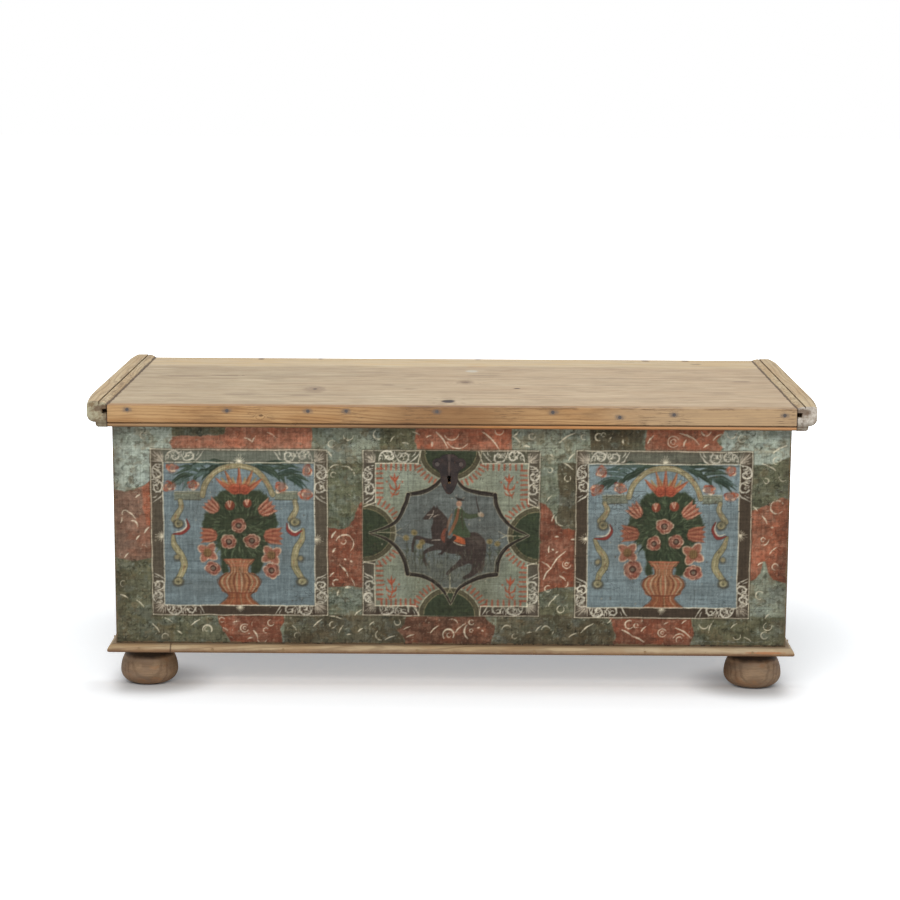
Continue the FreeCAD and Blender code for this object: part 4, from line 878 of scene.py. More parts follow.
# %% The vase, the crown on top, the arch and the hanging scrolls
def vase(mid):
    def at(points):
        return np.reshape(points, (-1, 2)) + (mid, 0)

    body, stripe, shade = (130, 90, 67), (152, 136, 106), (94, 58, 45)
    patch(at([-30, 261, 30, 261, 27, 255, 18, 248, 17, 232, -17, 232, -18, 248, -27, 255]), body,
        smooth=False)
    patch(at([-17, 234, 17, 234, 30, 231, 38, 222, 41, 212, 36, 201, 27, 193, -27, 193, -36, 201, -41, 212,
        -38, 222, -30, 231]), body, edge=2.6)
    patch(at([-25, 194, 25, 194, 21, 186, 26, 179, 40, 168, -40, 168, -26, 179, -21, 186]), (124, 80, 58),
        smooth=False, edge=2.6)
    tones = (shade, stripe, (140, 90, 70), (158, 146, 120), (104, 74, 56), (144, 112, 82))
    for number in range(17):
        place = -0.96 + 0.12 * number
        stroke(at([(place * 24, 233), (place * 37, 224), (place * 41, 212), (place * 28, 194)]),
            [1.6, 3.4, 3.4, 1.6], tones[number % 6], cover=0.65, dry=0.25)
    for number, place in enumerate((-0.8, -0.5, -0.2, 0.1, 0.35, 0.62, 0.88)):
        stroke(at([(place * 17, 234), (place * 17, 247), (place * 28, 258)]), 2.2,
            tones[(number * 2 + 1) % 6], cover=0.5, dry=0.2)
        stroke(at([(place * 22, 192), (place * 24, 182), (place * 40, 169)]), 2.6, tones[(number + 4) % 6],
            cover=0.5, dry=0.3)
    for z in (259, 252, 247):
        stroke(at([(-19 - (z - 246) * 0.8, z), (19 + (z - 246) * 0.8, z)]), 2.2, (152, 92, 74), cover=0.55,
            dry=0.2)
    stroke(at([-28, 193.5, 0, 192, 28, 193.5]), 2.6, shade, cover=0.75)
    for side in (-1, 1):
        stroke(at([(side * 31, 261), (side * 19, 249), (side * 18, 234), (side * 39, 224), (side * 42, 211),
            (side * 26, 193), (side * 22, 186), (side * 40, 168)]), 2.0, (74, 54, 43), cover=0.55, dry=0.3)


def crown(tips, middle):
    """The big flower over the others: curved petals, red and ochre, that rise from two round red lobes."""
    for (x, z), (next_x, next_z) in zip(tips, tips[1:]):
        lean = (x + next_x) / 2 - middle
        stroke([(middle + lean * 0.3, 398), (middle + lean * 0.72, 410), (middle + lean * 0.95, 421)],
            [8, 7, 2.5], (142, 120, 84), cover=0.85, dry=0.15)
    for number, (x, z) in enumerate(tips):
        lean = x - middle
        path = [(middle + lean * 0.30, 396), (middle + lean * 0.66, 398 + (z - 398) * 0.42), (x, z)]
        stroke(path, [12, 9.5, 1.8], ((143, 86, 65), (138, 94, 68))[number % 2], cover=0.95, dry=0.1)
        stroke([(px + 1.5, pz - 0.5) for px, pz in path], [1.0, 2.6, 0.8], (176, 130, 94), cover=0.5, dry=0.3)
        stroke([(px - 2, pz + 1) for px, pz in path], [1.0, 1.8, 0.6], (112, 62, 46), cover=0.5, dry=0.3)
    for side in (-1, 1):
        x = middle + side * 9.5
        dab(x, 399, 22, 21, (140, 74, 56), cover=0.92, edge=3)
        stroke(arc(x, 399, 6.5, 200, 150), [1, 2.4, 1], (104, 52, 42), cover=0.7, dry=0.2)
        stroke(arc(x, 400, 6.5, 30, 120), [1, 2.2, 1], (170, 106, 78), cover=0.6, dry=0.3)
    stroke([(middle, 410), (middle, 390)], [1.2, 2.2], (86, 50, 40), cover=0.7)


def rope(points, widths, colour=OCHRE, dark=(72, 68, 56), light=(172, 162, 132)):
    """A rounded scroll: dark outline, ochre body, and pale and reddish patches along it."""
    stroke(points, [w + 2.4 for w in widths], dark, cover=0.65, dry=0.15)
    stroke(points, widths, colour, cover=0.88, dry=0.15)
    line = curve_through(points, 6)
    dice = np.random.RandomState(int(abs(points[0]) + points[-1] * 3) % 9973)
    for start in range(0, len(line) - 3, 2):
        shade = (light, (118, 110, 84), light, (136, 98, 70))[dice.randint(4)]
        off = dice.uniform(-0.28, 0.28) * widths[0]
        stroke([(x + off, z + off * 0.4) for x, z in line[start:start + 4]], [1.0, widths[0] * 0.32, 1.0],
            shade, cover=0.6, dry=0.3, steps=1)


def arch(points, ledges):
    for x0, z0, x1, z1 in ledges:
        patch([(x0, z0 + 8), (x1, z1 + 8), (x1, z1 - 9), (x0, z0 - 9)], (106, 107, 90), cover=0.85,
            smooth=False, edge=2.4)
        dabble(26, int(abs(x0)), (x0 + 2, z0 - 7, x1 - 2, z1 + 7), (3, 9), (1.4, 3.0), (1.12, 1.35), 0.5,
            greens_only=False, sweep=(10, 40))
        for lift, width, shade in ((8, 1.6, OLD_CREAM), (3.5, 1.2, (138, 130, 104)), (-9, 1.8, (66, 62, 52))):
            stroke([(x0, z0 + lift), (x1, z1 + lift)], width, shade, cover=0.65, dry=0.3)
    rope(points, [9.5, 10.5, 9.5], (136, 126, 96))


def hanging_scroll(upper, ball, crescent, lower, knob):
    rope(upper, [8, 10, 12], (134, 126, 98))
    dab(ball[0], ball[1], 23, 20, (66, 62, 52), cover=0.75, edge=4)
    dab(ball[0] + 0.5, ball[1] + 1, 17, 14, (112, 108, 86), cover=0.85, edge=4)
    stroke(arc(ball[0], ball[1] + 1, 6, 90, 280), [1, 2.4, 1.4], OCHRE, cover=0.75)
    dab(ball[0] - 1, ball[1] + 1, 5, 5, (70, 66, 54), cover=0.7)
    rope(lower, [6, 11, 13, 12, 10], (138, 130, 98))
    end_x, end_z = lower[-2:]
    dab(end_x, end_z - 6, 25, 20, (68, 64, 54), cover=0.75, edge=4)
    dab(end_x, end_z - 5, 17, 13, (130, 124, 94), cover=0.8, edge=4, dry=0.2)
    stroke(arc(end_x, end_z - 5, 5.5, 60, 290), [1, 2, 1], (168, 158, 128), cover=0.6)
    dab(end_x, end_z - 6, 4, 4, (68, 64, 54), cover=0.6)
    dab(knob[0], knob[1], 15, 16, (70, 66, 56), cover=0.6, edge=4)
    dab(knob[0], knob[1] + 1, 9, 9, OCHRE, cover=0.7, edge=3)
    stroke(crescent, [1.5, 8, 9, 2.5], (52, 46, 44), cover=0.6)
    stroke(crescent, [1.2, 6, 7, 2], (122, 58, 52), cover=0.9, dry=0.1)
    inside = np.reshape(crescent, (-1, 2)) * 0.8 + np.multiply(ball, 0.2)
    stroke(inside, [0.8, 2.8, 2.8, 1], (196, 186, 164), cover=0.85, dry=0.2)


print("vase, crown, arch and scrolls ready")


# %% Leaves of the garland: how far out and how high each one starts and ends, and its width
garland_leaves = [
    (18, 449, 71, 444, 7), (50, 447, 96, 447, 4.5), (62, 440, 104, 447, 4), (76, 436, 122, 445, 4.5),
    (76, 431, 124, 431, 6), (56, 438, 78, 424, 8), (68, 431, 92, 411, 5), (84, 427, 128, 418, 6),
    (88, 425, 140, 410, 6.5), (94, 422, 118, 406, 6), (96, 420, 112, 401, 6), (100, 418, 130, 398, 6.5),
    (40, 444, 66, 428, 8), (84, 424, 90, 407, 5), (30, 446, 58, 434, 7), (48, 442, 74, 419, 8),
    (60, 434, 84, 414, 7), (44, 449, 92, 441, 7), (70, 440, 100, 434, 6), (100, 424, 136, 404, 5),
    (90, 440, 116, 440, 4)
]


# %% The whole picture
def bouquet(mid, places):
    """One side picture. The places table has what differs between the two."""
    board_region = part_of_board([(mid - 150, 168), (mid + 146, 452)], 0)
    brushed = 1 + 0.06 * clouds(60, 5, 21)[board_region] + 0.03 * clouds(5, 60, 22)[board_region]
    board[board_region] *= brushed[..., None]
    lighter = np.clip((HEIGHT[board_region] - 240) / 300, 0, 1)[..., None]
    board[board_region] *= places["light"] + 0.10 * lighter
    stroke([(mid - 148, 449.5), (mid, 450), (mid + 146, 449.5)], [1.5, 3, 1.5], (58, 62, 52), cover=0.7,
        dry=0.3)
    for side in (-1, 1):
        dice = np.random.RandomState(places["seed"] + side)
        for x0, z0, x1, z1, width in garland_leaves:
            push = dice.uniform(-4, 4, 4)
            middle = mid + side * ((x0 + x1) / 2 + push[2]), (z0 + z1) / 2 + 5 + push[1]
            path = [(mid + side * (x0 + push[0]), z0 + push[1] * 0.5), middle,
                    (mid + side * (x1 + push[3]), z1 + push[2] * 1.6)]
            shade = ((48, 56, 46), (58, 68, 56), (50, 61, 52), (74, 86, 80))[dice.randint(4)]
            stroke(path, [width * 0.6, width * 1.45, 0.8], shade, cover=0.9, dry=0.12)
            stroke([(x, z + 1) for x, z in path], [0.6, 1.5, 0.5], (100, 112, 102), cover=0.4, dry=0.35)
    arch(places["arch"], places["ledges"])
    for x, z, size, tall in places["garland"]:
        small_rose(x, z, size, tall)
    for half in places["hanging"]:
        hanging_scroll(*half)
    dice = np.random.RandomState(places["seed"] + 7)
    mass = np.reshape(mass_outline, (-1, 2)) + (mid, 0)
    patch(mass, (55, 61, 46), edge=4.5, ragged=3.5)
    for x, z in mass:
        heading = math.degrees(math.atan2(z - 325, x - mid))
        if z > 266 and abs(x - mid) > 30 or z > 380:
            for shift in (-40, -24, -8, 8, 24, 40):
                shade = ((54, 60, 45), (68, 76, 58))[shift % 3 == 0]
                leaf(x * 0.9 + mid * 0.1, z * 0.9 + 32.5, dice.uniform(9, 14), heading + shift, 4.8, shade,
                    cover=0.7)
    for number in range(330):
        turn = dice.uniform(0, 360)
        x, z = ray(mid, 327, 62 * math.sqrt(dice.uniform(0.05, 1.0)), turn)
        colour = ((40, 46, 35), (72, 82, 62), (90, 98, 76), (52, 60, 46))[dice.choice(4)]
        leaf(x, z, dice.uniform(8, 16), turn + dice.uniform(-35, 35), dice.uniform(2.0, 3.4), colour,
            cover=0.65)
    crown(places["crown"], places["crown_middle"])
    for x, z, size, heading in places["pink_tulips"]:
        tulip(x, z, size, heading, (146, 96, 78), (180, 152, 126))
    for x, z, size, heading in places["orange_tulips"]:
        tulip(x, z, size, heading, (132, 84, 67), (156, 112, 86))
    for x, z, size in places["buds"]:
        bud(x, z, size)
    for x, z, size, lean in places["stars"]:
        star_flower(x, z, size, lean)
    vase(places["vase"])
    for x, z, size, tall in places["roses"]:
        rose(x, z, size, tall)


mass_outline = [-46, 380, -36, 392, -18, 397, 18, 398, 40, 394, 54, 384, 60, 366, 68, 350, 73, 332, 66, 312,
    58, 300, 50, 286, 48, 262, 46, 244, 36, 233, 22, 233, 20, 250, -20, 250, -22, 236, -34, 234, -36, 262,
    -40, 286, -52, 300, -66, 312, -70, 330, -64, 348, -52, 362]
left_places = {
    "seed": 40, "light": 0.92, "vase": -413, "crown_middle": -410,
    "crown": [(-456, 420), (-438, 434), (-412, 440), (-386, 435), (-368, 419)],
    "arch": [-483, 386, -479, 404, -469, 421, -452, 436, -430, 444, -404, 444.5, -382, 437, -365, 422,
             -354, 405, -347, 388],
    "ledges": [(-537, 386, -487, 386), (-343, 387, -298, 387)],
    "garland": [(-541, 440, 24, 0.9), (-546, 405, 27, 0.8), (-499, 406, 25, 0.75), (-279, 437, 19, 1.4),
                (-330, 403, 26, 0.9), (-282, 389, 28, 0.9)],
    "hanging": [
        ([-526, 376, -524, 362, -531, 350, -538, 338], (-530, 330),
         [-514, 340, -511, 324, -524, 312, -541, 309],
         [-541, 306, -539, 288, -528, 270, -520, 250, -525, 232, -532, 220], (-534, 262)),
        ([-304, 376, -301, 362, -306, 350, -311, 340], (-303, 334),
         [-319, 332, -316, 318, -303, 310, -290, 318],
         [-288, 320, -290, 300, -302, 280, -305, 252, -298, 234, -290, 222], (-293, 262))],
    "pink_tulips": [(-455, 356, 28, 138), (-371, 352, 31, 36)],
    "orange_tulips": [(-457, 307, 31, 180), (-362, 307, 34, 0)],
    "buds": [(-430, 367, 20), (-396, 371, 17)],
    "stars": [(-474, 273, 33, 12), (-350, 269, 33, -8)],
    "roses": [(-413, 327, 31, 1.0), (-433, 295, 31, 0.95), (-387, 297, 31, 0.95), (-464, 242, 33, 0.85),
              (-350, 238, 31, 1.0)],
}
right_places = {
    "seed": 60, "light": 1.0, "vase": 414, "crown_middle": 415,
    "crown": [(375, 422), (396, 438), (414, 440), (436, 435), (457, 419)],
    "arch": [344, 388, 349, 406, 361, 424, 383, 439, 410, 445, 436, 442, 457, 430, 470, 415, 478, 400,
             483, 386],
    "ledges": [(293, 384, 342, 385), (487, 385, 525, 385)],
    "garland": [(290, 438, 23, 1.1), (282, 403, 27, 0.85), (326, 407, 25, 0.9), (540, 441, 23, 0.9),
                (499, 404, 27, 0.7), (542, 391, 27, 0.8)],
    "hanging": [
        ([298, 376, 303, 362, 297, 350, 290, 340], (295, 331), [308, 334, 311, 320, 300, 306, 279, 305],
         [279, 303, 286, 286, 298, 268, 300, 250, 290, 234, 286, 220], (286, 258)),
        ([521, 376, 519, 362, 526, 350, 532, 340], (524, 332), [513, 340, 508, 324, 518, 308, 534, 311],
         [536, 308, 530, 290, 517, 270, 514, 250, 522, 234, 531, 222], (529, 264))],
    "pink_tulips": [(366, 351, 28, 132), (452, 351, 32, 38)],
    "orange_tulips": [(363, 316, 33, 180), (460, 315, 33, 0)],
    "buds": [(397, 368, 18), (433, 370, 19)],
    "stars": [(343, 278, 34, 5), (471, 276, 36, 14)],
    "roses": [(414, 331, 34, 0.88), (394, 296, 30, 1.0), (437, 300, 31, 0.97), (354, 244, 36, 1.12),
              (472, 239, 37, 0.88)],
}
bouquet(-412, left_places)
bouquet(415, right_places)
for inner in (left_inner, right_inner):
    line_round(box(*inner), 2.0, CREAM)
print("two bouquets painted")

# %% [markdown]
# ## The middle picture: a rider in a star-shaped field
# Four dark half discs stand on the sides of the frame. A black moulding of eight hollow curves encloses a
# blue field with a rider on a rearing horse, a figure known from many folk chests. The pale corners have
# red ticks along their edges and a red sprig each. The rider is a few flat dabs, and the face is only a
# spot of flesh colour under a hat.

# %% Half discs, corners and the black moulding
star_tips = [(-83, 391), (-3, 446), (85, 391), (150, 311), (88, 233), (0, 174), (-85, 233), (-158, 314)]
star_hollows = [(-50, 398, -24, 416), (20, 408, 50, 396), (90, 366, 112, 332), (112, 290, 92, 262),
    (56, 227, 18, 206), (-22, 208, -54, 228), (-92, 262, -116, 296), (-110, 334, -90, 368)]
next_tips = star_tips[1:] + star_tips[:1]
star_curves = [(*start, *hollow, *end) for start, hollow, end in zip(star_tips, star_hollows, next_tips)]
discs = [(-2, 477, 60, 58, 180), (171, 311, 61, 57, 90), (-3, 149, 60, 57, 0), (-171.5, 314, 64, 58, 270)]

x0, z0, x1, z1 = middle_inner
patch(box(*middle_inner), (121, 125, 109), smooth=False, edge=2)
patch(box(x0, z0, x1, 238), (105, 107, 92), cover=0.75, edge=30, smooth=False)
for x, z, wide, tall in ((-92, 425, 60, 40), (110, 425, 40, 50), (-110, 205, 60, 50), (110, 205, 60, 44)):
    dab(x, z, wide, tall, (134, 140, 128), cover=0.45, edge=30, dry=0.3)


def red_tick(x, z, heading, length=11):
    stroke([(x, z), ray(x, z, length, heading)], [4.4, 4.2, 3.4], (138, 77, 60), cover=0.8, dry=0.3)


for x in np.arange(-136, -66, 9.5):
    red_tick(x, 450, 270, 11)
    red_tick(x, 170, 90, 12)
for x in np.arange(70, 146, 11.0):
    red_tick(x, 450, 270, 10)
    red_tick(x, 170, 90, 11)
for z in list(np.arange(384, 444, 9.5)) + list(np.arange(182, 250, 9.5)):
    red_tick(-144, z, 0, 11)
    red_tick(146, z - 2, 180, 12)
for x, z, wide, tall, start in discs:
    for turn in np.arange(start + 12, start + 170, 7.5):
        tick_x, tick_z = ray(x, z, wide + 5, turn, (tall + 5) / (wide + 5))
        if x0 < tick_x < x1 and z0 < tick_z < z1:
            red_tick(tick_x, tick_z, turn, 11)

patch([curve[:6] for curve in star_curves], (93, 97, 93), smooth=False, edge=2)
board_region = part_of_board([(-120, 205), (120, 420)], 0)
field_brush = 1 + 0.08 * clouds(70, 5, 31)[board_region] + 0.06 * clouds(5, 50, 32)[board_region]
board[board_region] *= field_brush[..., None]
dabble(330, 33, (-112, 214, 112, 416), (3, 10), (1.0, 2.4), (0.76, 0.92), 0.5, greens_only=False,
    sweep=(10, 50))
dabble(160, 34, (-112, 214, 112, 416), (2, 7), (1.0, 2.0), (1.08, 1.2), 0.5, greens_only=False,
    sweep=(10, 50))
dabble(620, 35, middle_inner, (2, 7), (1.0, 2.2), (0.62, 0.86), 0.5, sweep=(10, 60))
patch([-100, 272, -60, 258, -20, 262, 20, 250, 60, 262, 104, 270, 92, 235, 60, 226, 20, 208, -20, 207, -54,
    227, -90, 236], (86, 87, 79), cover=0.75, edge=22)
for x, z, wide, tall, start in discs:
    turns = np.linspace(start, start + 180, 15)
    half, ring, inside = [[ray(x, z, wide - inset, turn, (tall - inset) / (wide - inset)) for turn in turns]
                          for inset in (0, 5, 10)]
    patch(half, (76, 72, 57), smooth=False, edge=2)
    patch(inside, BOTTLE, smooth=False, edge=2)
    stroke(ring, 3.0, (92, 86, 66), cover=0.4, dry=0.5)
    stroke(half, 1.8, (172, 164, 140), cover=0.75, dry=0.3)
    stroke(inside, 1.5, (142, 130, 98), cover=0.65, dry=0.4)
    dice = np.random.RandomState(int(abs(x)) + int(z))
    for number in range(60):
        turn = start + 180 * dice.uniform(0.06, 0.94)
        leaf_x, leaf_z = ray(x, z, dice.uniform(0.1, 0.8) * wide, turn, tall / wide)
        leaf(leaf_x, leaf_z, dice.uniform(6, 13), turn + dice.uniform(-60, 60), dice.uniform(2, 4),
            ((66, 74, 52), (38, 41, 31), (56, 62, 44))[number % 3], cover=0.5)
for number, curve in enumerate(star_curves):
    widths = np.array([7.8, 7.8, 6.2, 2.0])[::-1 if number % 2 else 1]
    stroke(curve, widths + 3.0, (150, 142, 120), cover=0.6, dry=0.3)
    stroke(curve, widths, (43, 38, 34), cover=0.97, dry=0.04)
    inside = np.reshape(curve, (-1, 2)) * 0.985 + (0, 312 * 0.015)
    stroke(inside, [0.8, 1.6, 1.2], (92, 86, 76), cover=0.5, dry=0.5)
for x, z, turn in ((-108, 315, 0), (104, 310, 180), (-2, 202, 270)):
    for bend in (-34, 34):
        stroke([ray(x, z, 14, turn + bend), ray(x, z, -6, turn), ray(x, z, -36, turn)], [1.0, 1.6, 0.8],
            (164, 156, 130), cover=0.7, dry=0.3)
print("star field and discs painted")

# %% A red sprig in each corner
SPRIG = (142, 74, 54)
for x, z, lean in ((-110, 408, 6), (112, 408, -6), (-116, 204, 5), (116, 204, -5)):
    stroke([(x - lean, z - 22), (x + lean * 0.4, z - 6), (x, z + 12)], [2.0, 3.2, 2.6], SPRIG, cover=0.82,
        dry=0.2)
    for turn in (55, 90, 125):
        leaf(x, z + 8, 17 if turn == 90 else 15, turn, 4.8, SPRIG, cover=0.85, bend=0)
    for side in (-1, 1):
        leaf(x, z - 8, 17, 90 - side * 62, 4.4, SPRIG, cover=0.82, bend=side * 24)
        leaf(x, z - 18, 12, 90 - side * 70, 3.4, SPRIG, cover=0.78, bend=side * 20)
        dab(x + side * 15, z + 8, 4.0, 4.0, SPRIG, cover=0.7)
print("four sprigs painted")

# %% Horse and rider
HORSE = (60, 52, 48)
horse_body = [-38, 322, -36, 300, -30, 286, -10, 277, 14, 272, 24, 262, 36, 254, 52, 252, 66, 266, 68, 290,
    60, 308, 42, 317, 20, 308, -4, 304, -12, 318, -16, 340, -30, 342]
horse_neck = [-38, 318, -35, 336, -36, 350, -30, 364, -22, 360, -12, 350, -6, 340, -6, 314, -14, 302]
horse_head = [-53, 346, -52, 341, -44, 342, -34, 346, -28, 352, -30, 362, -35, 367, -38, 362, -44, 356]
patch([48, 302, 64, 302, 68, 280, 66, 256, 60, 240, 52, 236, 46, 246, 42, 264], (66, 57, 51), edge=3,
    cover=0.92, ragged=2)
for line, widths in (
        ([-26, 296, -48, 300, -68, 306, -74, 294, -75, 278], [13, 9, 7, 5.5, 5]),
        ([-22, 288, -40, 283, -52, 276, -52, 262, -48, 252], [12, 9, 6, 5, 6]),
        ([36, 270, 25, 260, 13, 251, 2, 243, -7, 234], [24, 17, 10, 7, 6]),
        ([52, 266, 50, 252, 46, 241, 38, 232, 26, 226], [26, 19, 13, 9, 7])):
    stroke(line, widths, HORSE, cover=0.95, dry=0.06)
for outline in (horse_body, horse_neck, horse_head):
    patch(outline, HORSE, edge=2.2)
stroke([-33, 368, -31, 360], [1.4, 4], HORSE)
stroke([-28, 369, -26, 360], [1.4, 4], HORSE)
for x, z in ((-26, 358), (-20, 352), (-14, 346), (-10, 338), (-8, 330)):
    leaf(x, z, 9, -150, 3.4, (84, 76, 68), cover=0.6)
for points in ([-46, 350, -36, 351], [-42, 343, -36, 350, -34, 358], [-34, 346, -26, 350],
        [-37, 300, -22, 301]):
    stroke(points, 1.8, (172, 162, 146), cover=0.7, dry=0.3)
stroke([-12, 322, -16, 308, -14, 298], [4, 9, 4], (112, 68, 54), cover=0.85)
stroke([30, 306, 46, 304, 58, 290], [2, 8, 2], (78, 70, 62), cover=0.5)
dice = np.random.RandomState(71)
dab(50, 296, 34, 34, (88, 80, 72), cover=0.4, edge=14, dry=0.4)
for _, x, z in scatter(dice, 190, -50, 236, 68, 360):
    tone = under(x, z)
    if tone.sum() < 190:
        stroke([(x, z), (x + dice.uniform(-7, 7), z + dice.uniform(-6, 6))], [0.9, 1.6, 0.6],
            tone * dice.uniform(0.65, 1.65) + 3, cover=0.55, dry=0.3)
print("horse painted")

# %% The rider, and flowers in the grass
COAT = (66, 74, 56)
patch([8, 362, 20, 366, 24, 350, 28, 332, 38, 312, 30, 306, 4, 312, 2, 326, 6, 344], COAT, edge=2.2)
stroke([20, 356, 32, 348, 44, 349, 54, 351], [11, 10, 8, 7], COAT, cover=0.95)
dab(56, 352, 11, 10, (158, 146, 128), cover=0.9)
dab(60, 350, 8, 8, (150, 128, 104), cover=0.8)
stroke([15, 366, 12, 346, 4, 326, -4, 312], [4, 6, 6, 4], (124, 82, 60), cover=0.8, dry=0.25)
stroke([2, 352, -4, 338, -8, 320], [3, 6, 3], (124, 92, 72), cover=0.6, dry=0.3)
stroke([22, 362, 21, 344, 24, 322], [1.6, 2.4, 1.4], (58, 48, 40), cover=0.6)
dab(15, 373, 11, 13, (152, 118, 96), cover=0.9, edge=2.6)
stroke([14, 366, 18, 364], [4, 3], (180, 170, 152), cover=0.7)
stroke([8, 386, 13, 382, 19, 381, 25, 380], [1.2, 4.5, 5, 1.6], (48, 42, 38), cover=0.95)
stroke([9, 388, 11, 391], [1.6, 0.8], (150, 138, 118), cover=0.6, dry=0.2)
stroke([22, 383, 26, 386], [1.6, 0.8], (150, 138, 118), cover=0.6, dry=0.2)
stroke([48, 388, 50, 372, 54, 356], [1.6, 2.4, 2.4], (56, 50, 46), cover=0.95)
patch([4, 313, 14, 309, 26, 303, 28, 292, 16, 294, 3, 300], (150, 84, 56), edge=2.2, smooth=False)
stroke([2, 299, 14, 292, 27, 290], [1.2, 2.4, 1.2], (182, 170, 148), cover=0.8, dry=0.2)
stroke([6, 306, -4, 296, -12, 284, -18, 275], [8, 7, 6, 5], (54, 46, 42), cover=0.95)
stroke([-18, 275, -25, 273], [4, 2], (54, 46, 42))
for x, z, foot in ((-88, 304, 262), (-72, 314, 262), (-62, 288, 250), (-57, 296, 252), (74, 298, 258),
        (90, 293, 262)):
    stroke([(x, z), (x + 2, (z + foot) / 2), (x + 1, foot)], [1.4, 1.8, 1.4], (66, 68, 54), cover=0.75)
    for side in (-1, 1):
        leaf(x + 1, foot + 12, 11, 90 - side * 32, 3, (66, 68, 54), cover=0.7)
    dab(x, z + 1, 12, 11, (128, 112, 74), cover=0.75, dry=0.2, edge=3)
    dab(x, z, 5, 5, (96, 84, 54), cover=0.7)
dice = np.random.RandomState(77)
for number, x, z in scatter(dice, 340, -88, 210, 90, 276):
    if abs(x) < 34 or z > 232:
        stroke([(x, z), (x + dice.uniform(-3, 3), z + dice.uniform(4, 11))], [1.7, 0.7],
            ((58, 58, 48), (70, 70, 58), (98, 98, 84))[number % 3], cover=0.55)
x0, z0, x1, z1 = middle_inner
for line in ([(x0, 375), (x0, z1), (-64, z1)], [(60, z1), (x1, z1), (x1, 374)],
        [(x0 - 2, 252), (x0 - 1, z0 + 1), (-69, z0 + 1)], [(58, z0 + 1), (x1, z0 + 1), (x1, 252)],
        [(-64, z1), (-60, 476)], [(60, z1), (52, 476)], [(x0, 375), (-170, 366)], [(x1, 374), (170, 365)],
        [(x0 - 2, 252), (-170, 256)], [(x1, 252), (167, 257)], [(-69, 169), (-62, 150)],
        [(58, 169), (56, 150)]):
    for start, end in zip(line, line[1:]):
        stroke([start, end], 2.0, CREAM, cover=0.8, dry=0.3)
print("rider and flowers painted")

# %% Age: woven brush marks, dark grime, rubbed places and knocks
long_hairs = clouds(60, 2.3, 41) + clouds(2.3, 48, 42)
short_hairs = clouds(14, 2.0, 45) + clouds(2.0, 14, 46)
weave = 0.55 * long_hairs + 0.5 * short_hairs + 0.6 * clouds(3.0, 3.0, 43)
board *= (1 + 0.095 * weave)[..., None]
dirt_and_seam_shadow = np.clip(clouds(90, 60, 44, layers=4) * 1.2 + 0.1, 0, 1)
foot_grime = np.clip((125 - HEIGHT) / 45, 0, 1) ** 1.5
corner_grime = np.clip((np.abs(ACROSS) - 615) / 42, 0, 1) ** 2
dark = np.clip(0.16 * dirt_and_seam_shadow + 0.20 * foot_grime + 0.28 * corner_grime, 0, 0.6)
board += dark[..., None] * (np.array((66, 56, 46)) / 255 - board)
dice = np.random.RandomState(90)
for _, x, z in scatter(dice, 430, *whole_board):
    length = dice.uniform(3, 26)
    heading = dice.choice([0, 0, 90, 90, 8, 172]) + dice.uniform(-5, 5)
    shade = np.array((66.3, 58.65, 48.45)) * dice.uniform(0.55, 0.8)
    stroke([(x, z), ray(x, z, length, heading)], [0.5, 1.1, 0.4], shade, cover=0.42, thickness=-0.4, steps=2)
for number, x, z in scatter(dice, 420, *whole_board):
    size = dice.uniform(1.2, 3.6)
    dab(x, z, size, size * dice.uniform(0.6, 1.4), ((74, 62, 50), (150, 142, 122))[number % 3 == 0],
        cover=0.55, thickness=-0.5)
level_of_grey = 0.33
board = np.clip(level_of_grey + (board - level_of_grey) * 1.12 - 0.012, 0.03, 0.95)
print("mean colour of the aged board", (board.mean((0, 1)) * 255).round())

# %% [markdown]
# ## From the painter's board to a skin of paint
# Old paint is a film with a thickness of its own, a quarter of a millimetre here. The net of points becomes
# a thin mesh just in front of the panel, with the colours stored at its corners. Thick strokes stand a
# little higher than thin ones. The film is made in three pieces, with a gap for the key under the iron
# plate, and its edges turn back to the wood so that no daylight shows behind it.

# %% Build the film
film = 0.22
stroke_height = 0.10
wood_face = front_low.y / mm
key_low, key_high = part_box("lock_drill_pin")
key_across, key_height = (key_low.x + key_high.x) / 2 / mm, (key_low.z + key_high.z) / 2 / mm
screen_to_light = np.where(board <= 0.04045, board / 12.92, ((board + 0.055) / 1.055) ** 2.4)


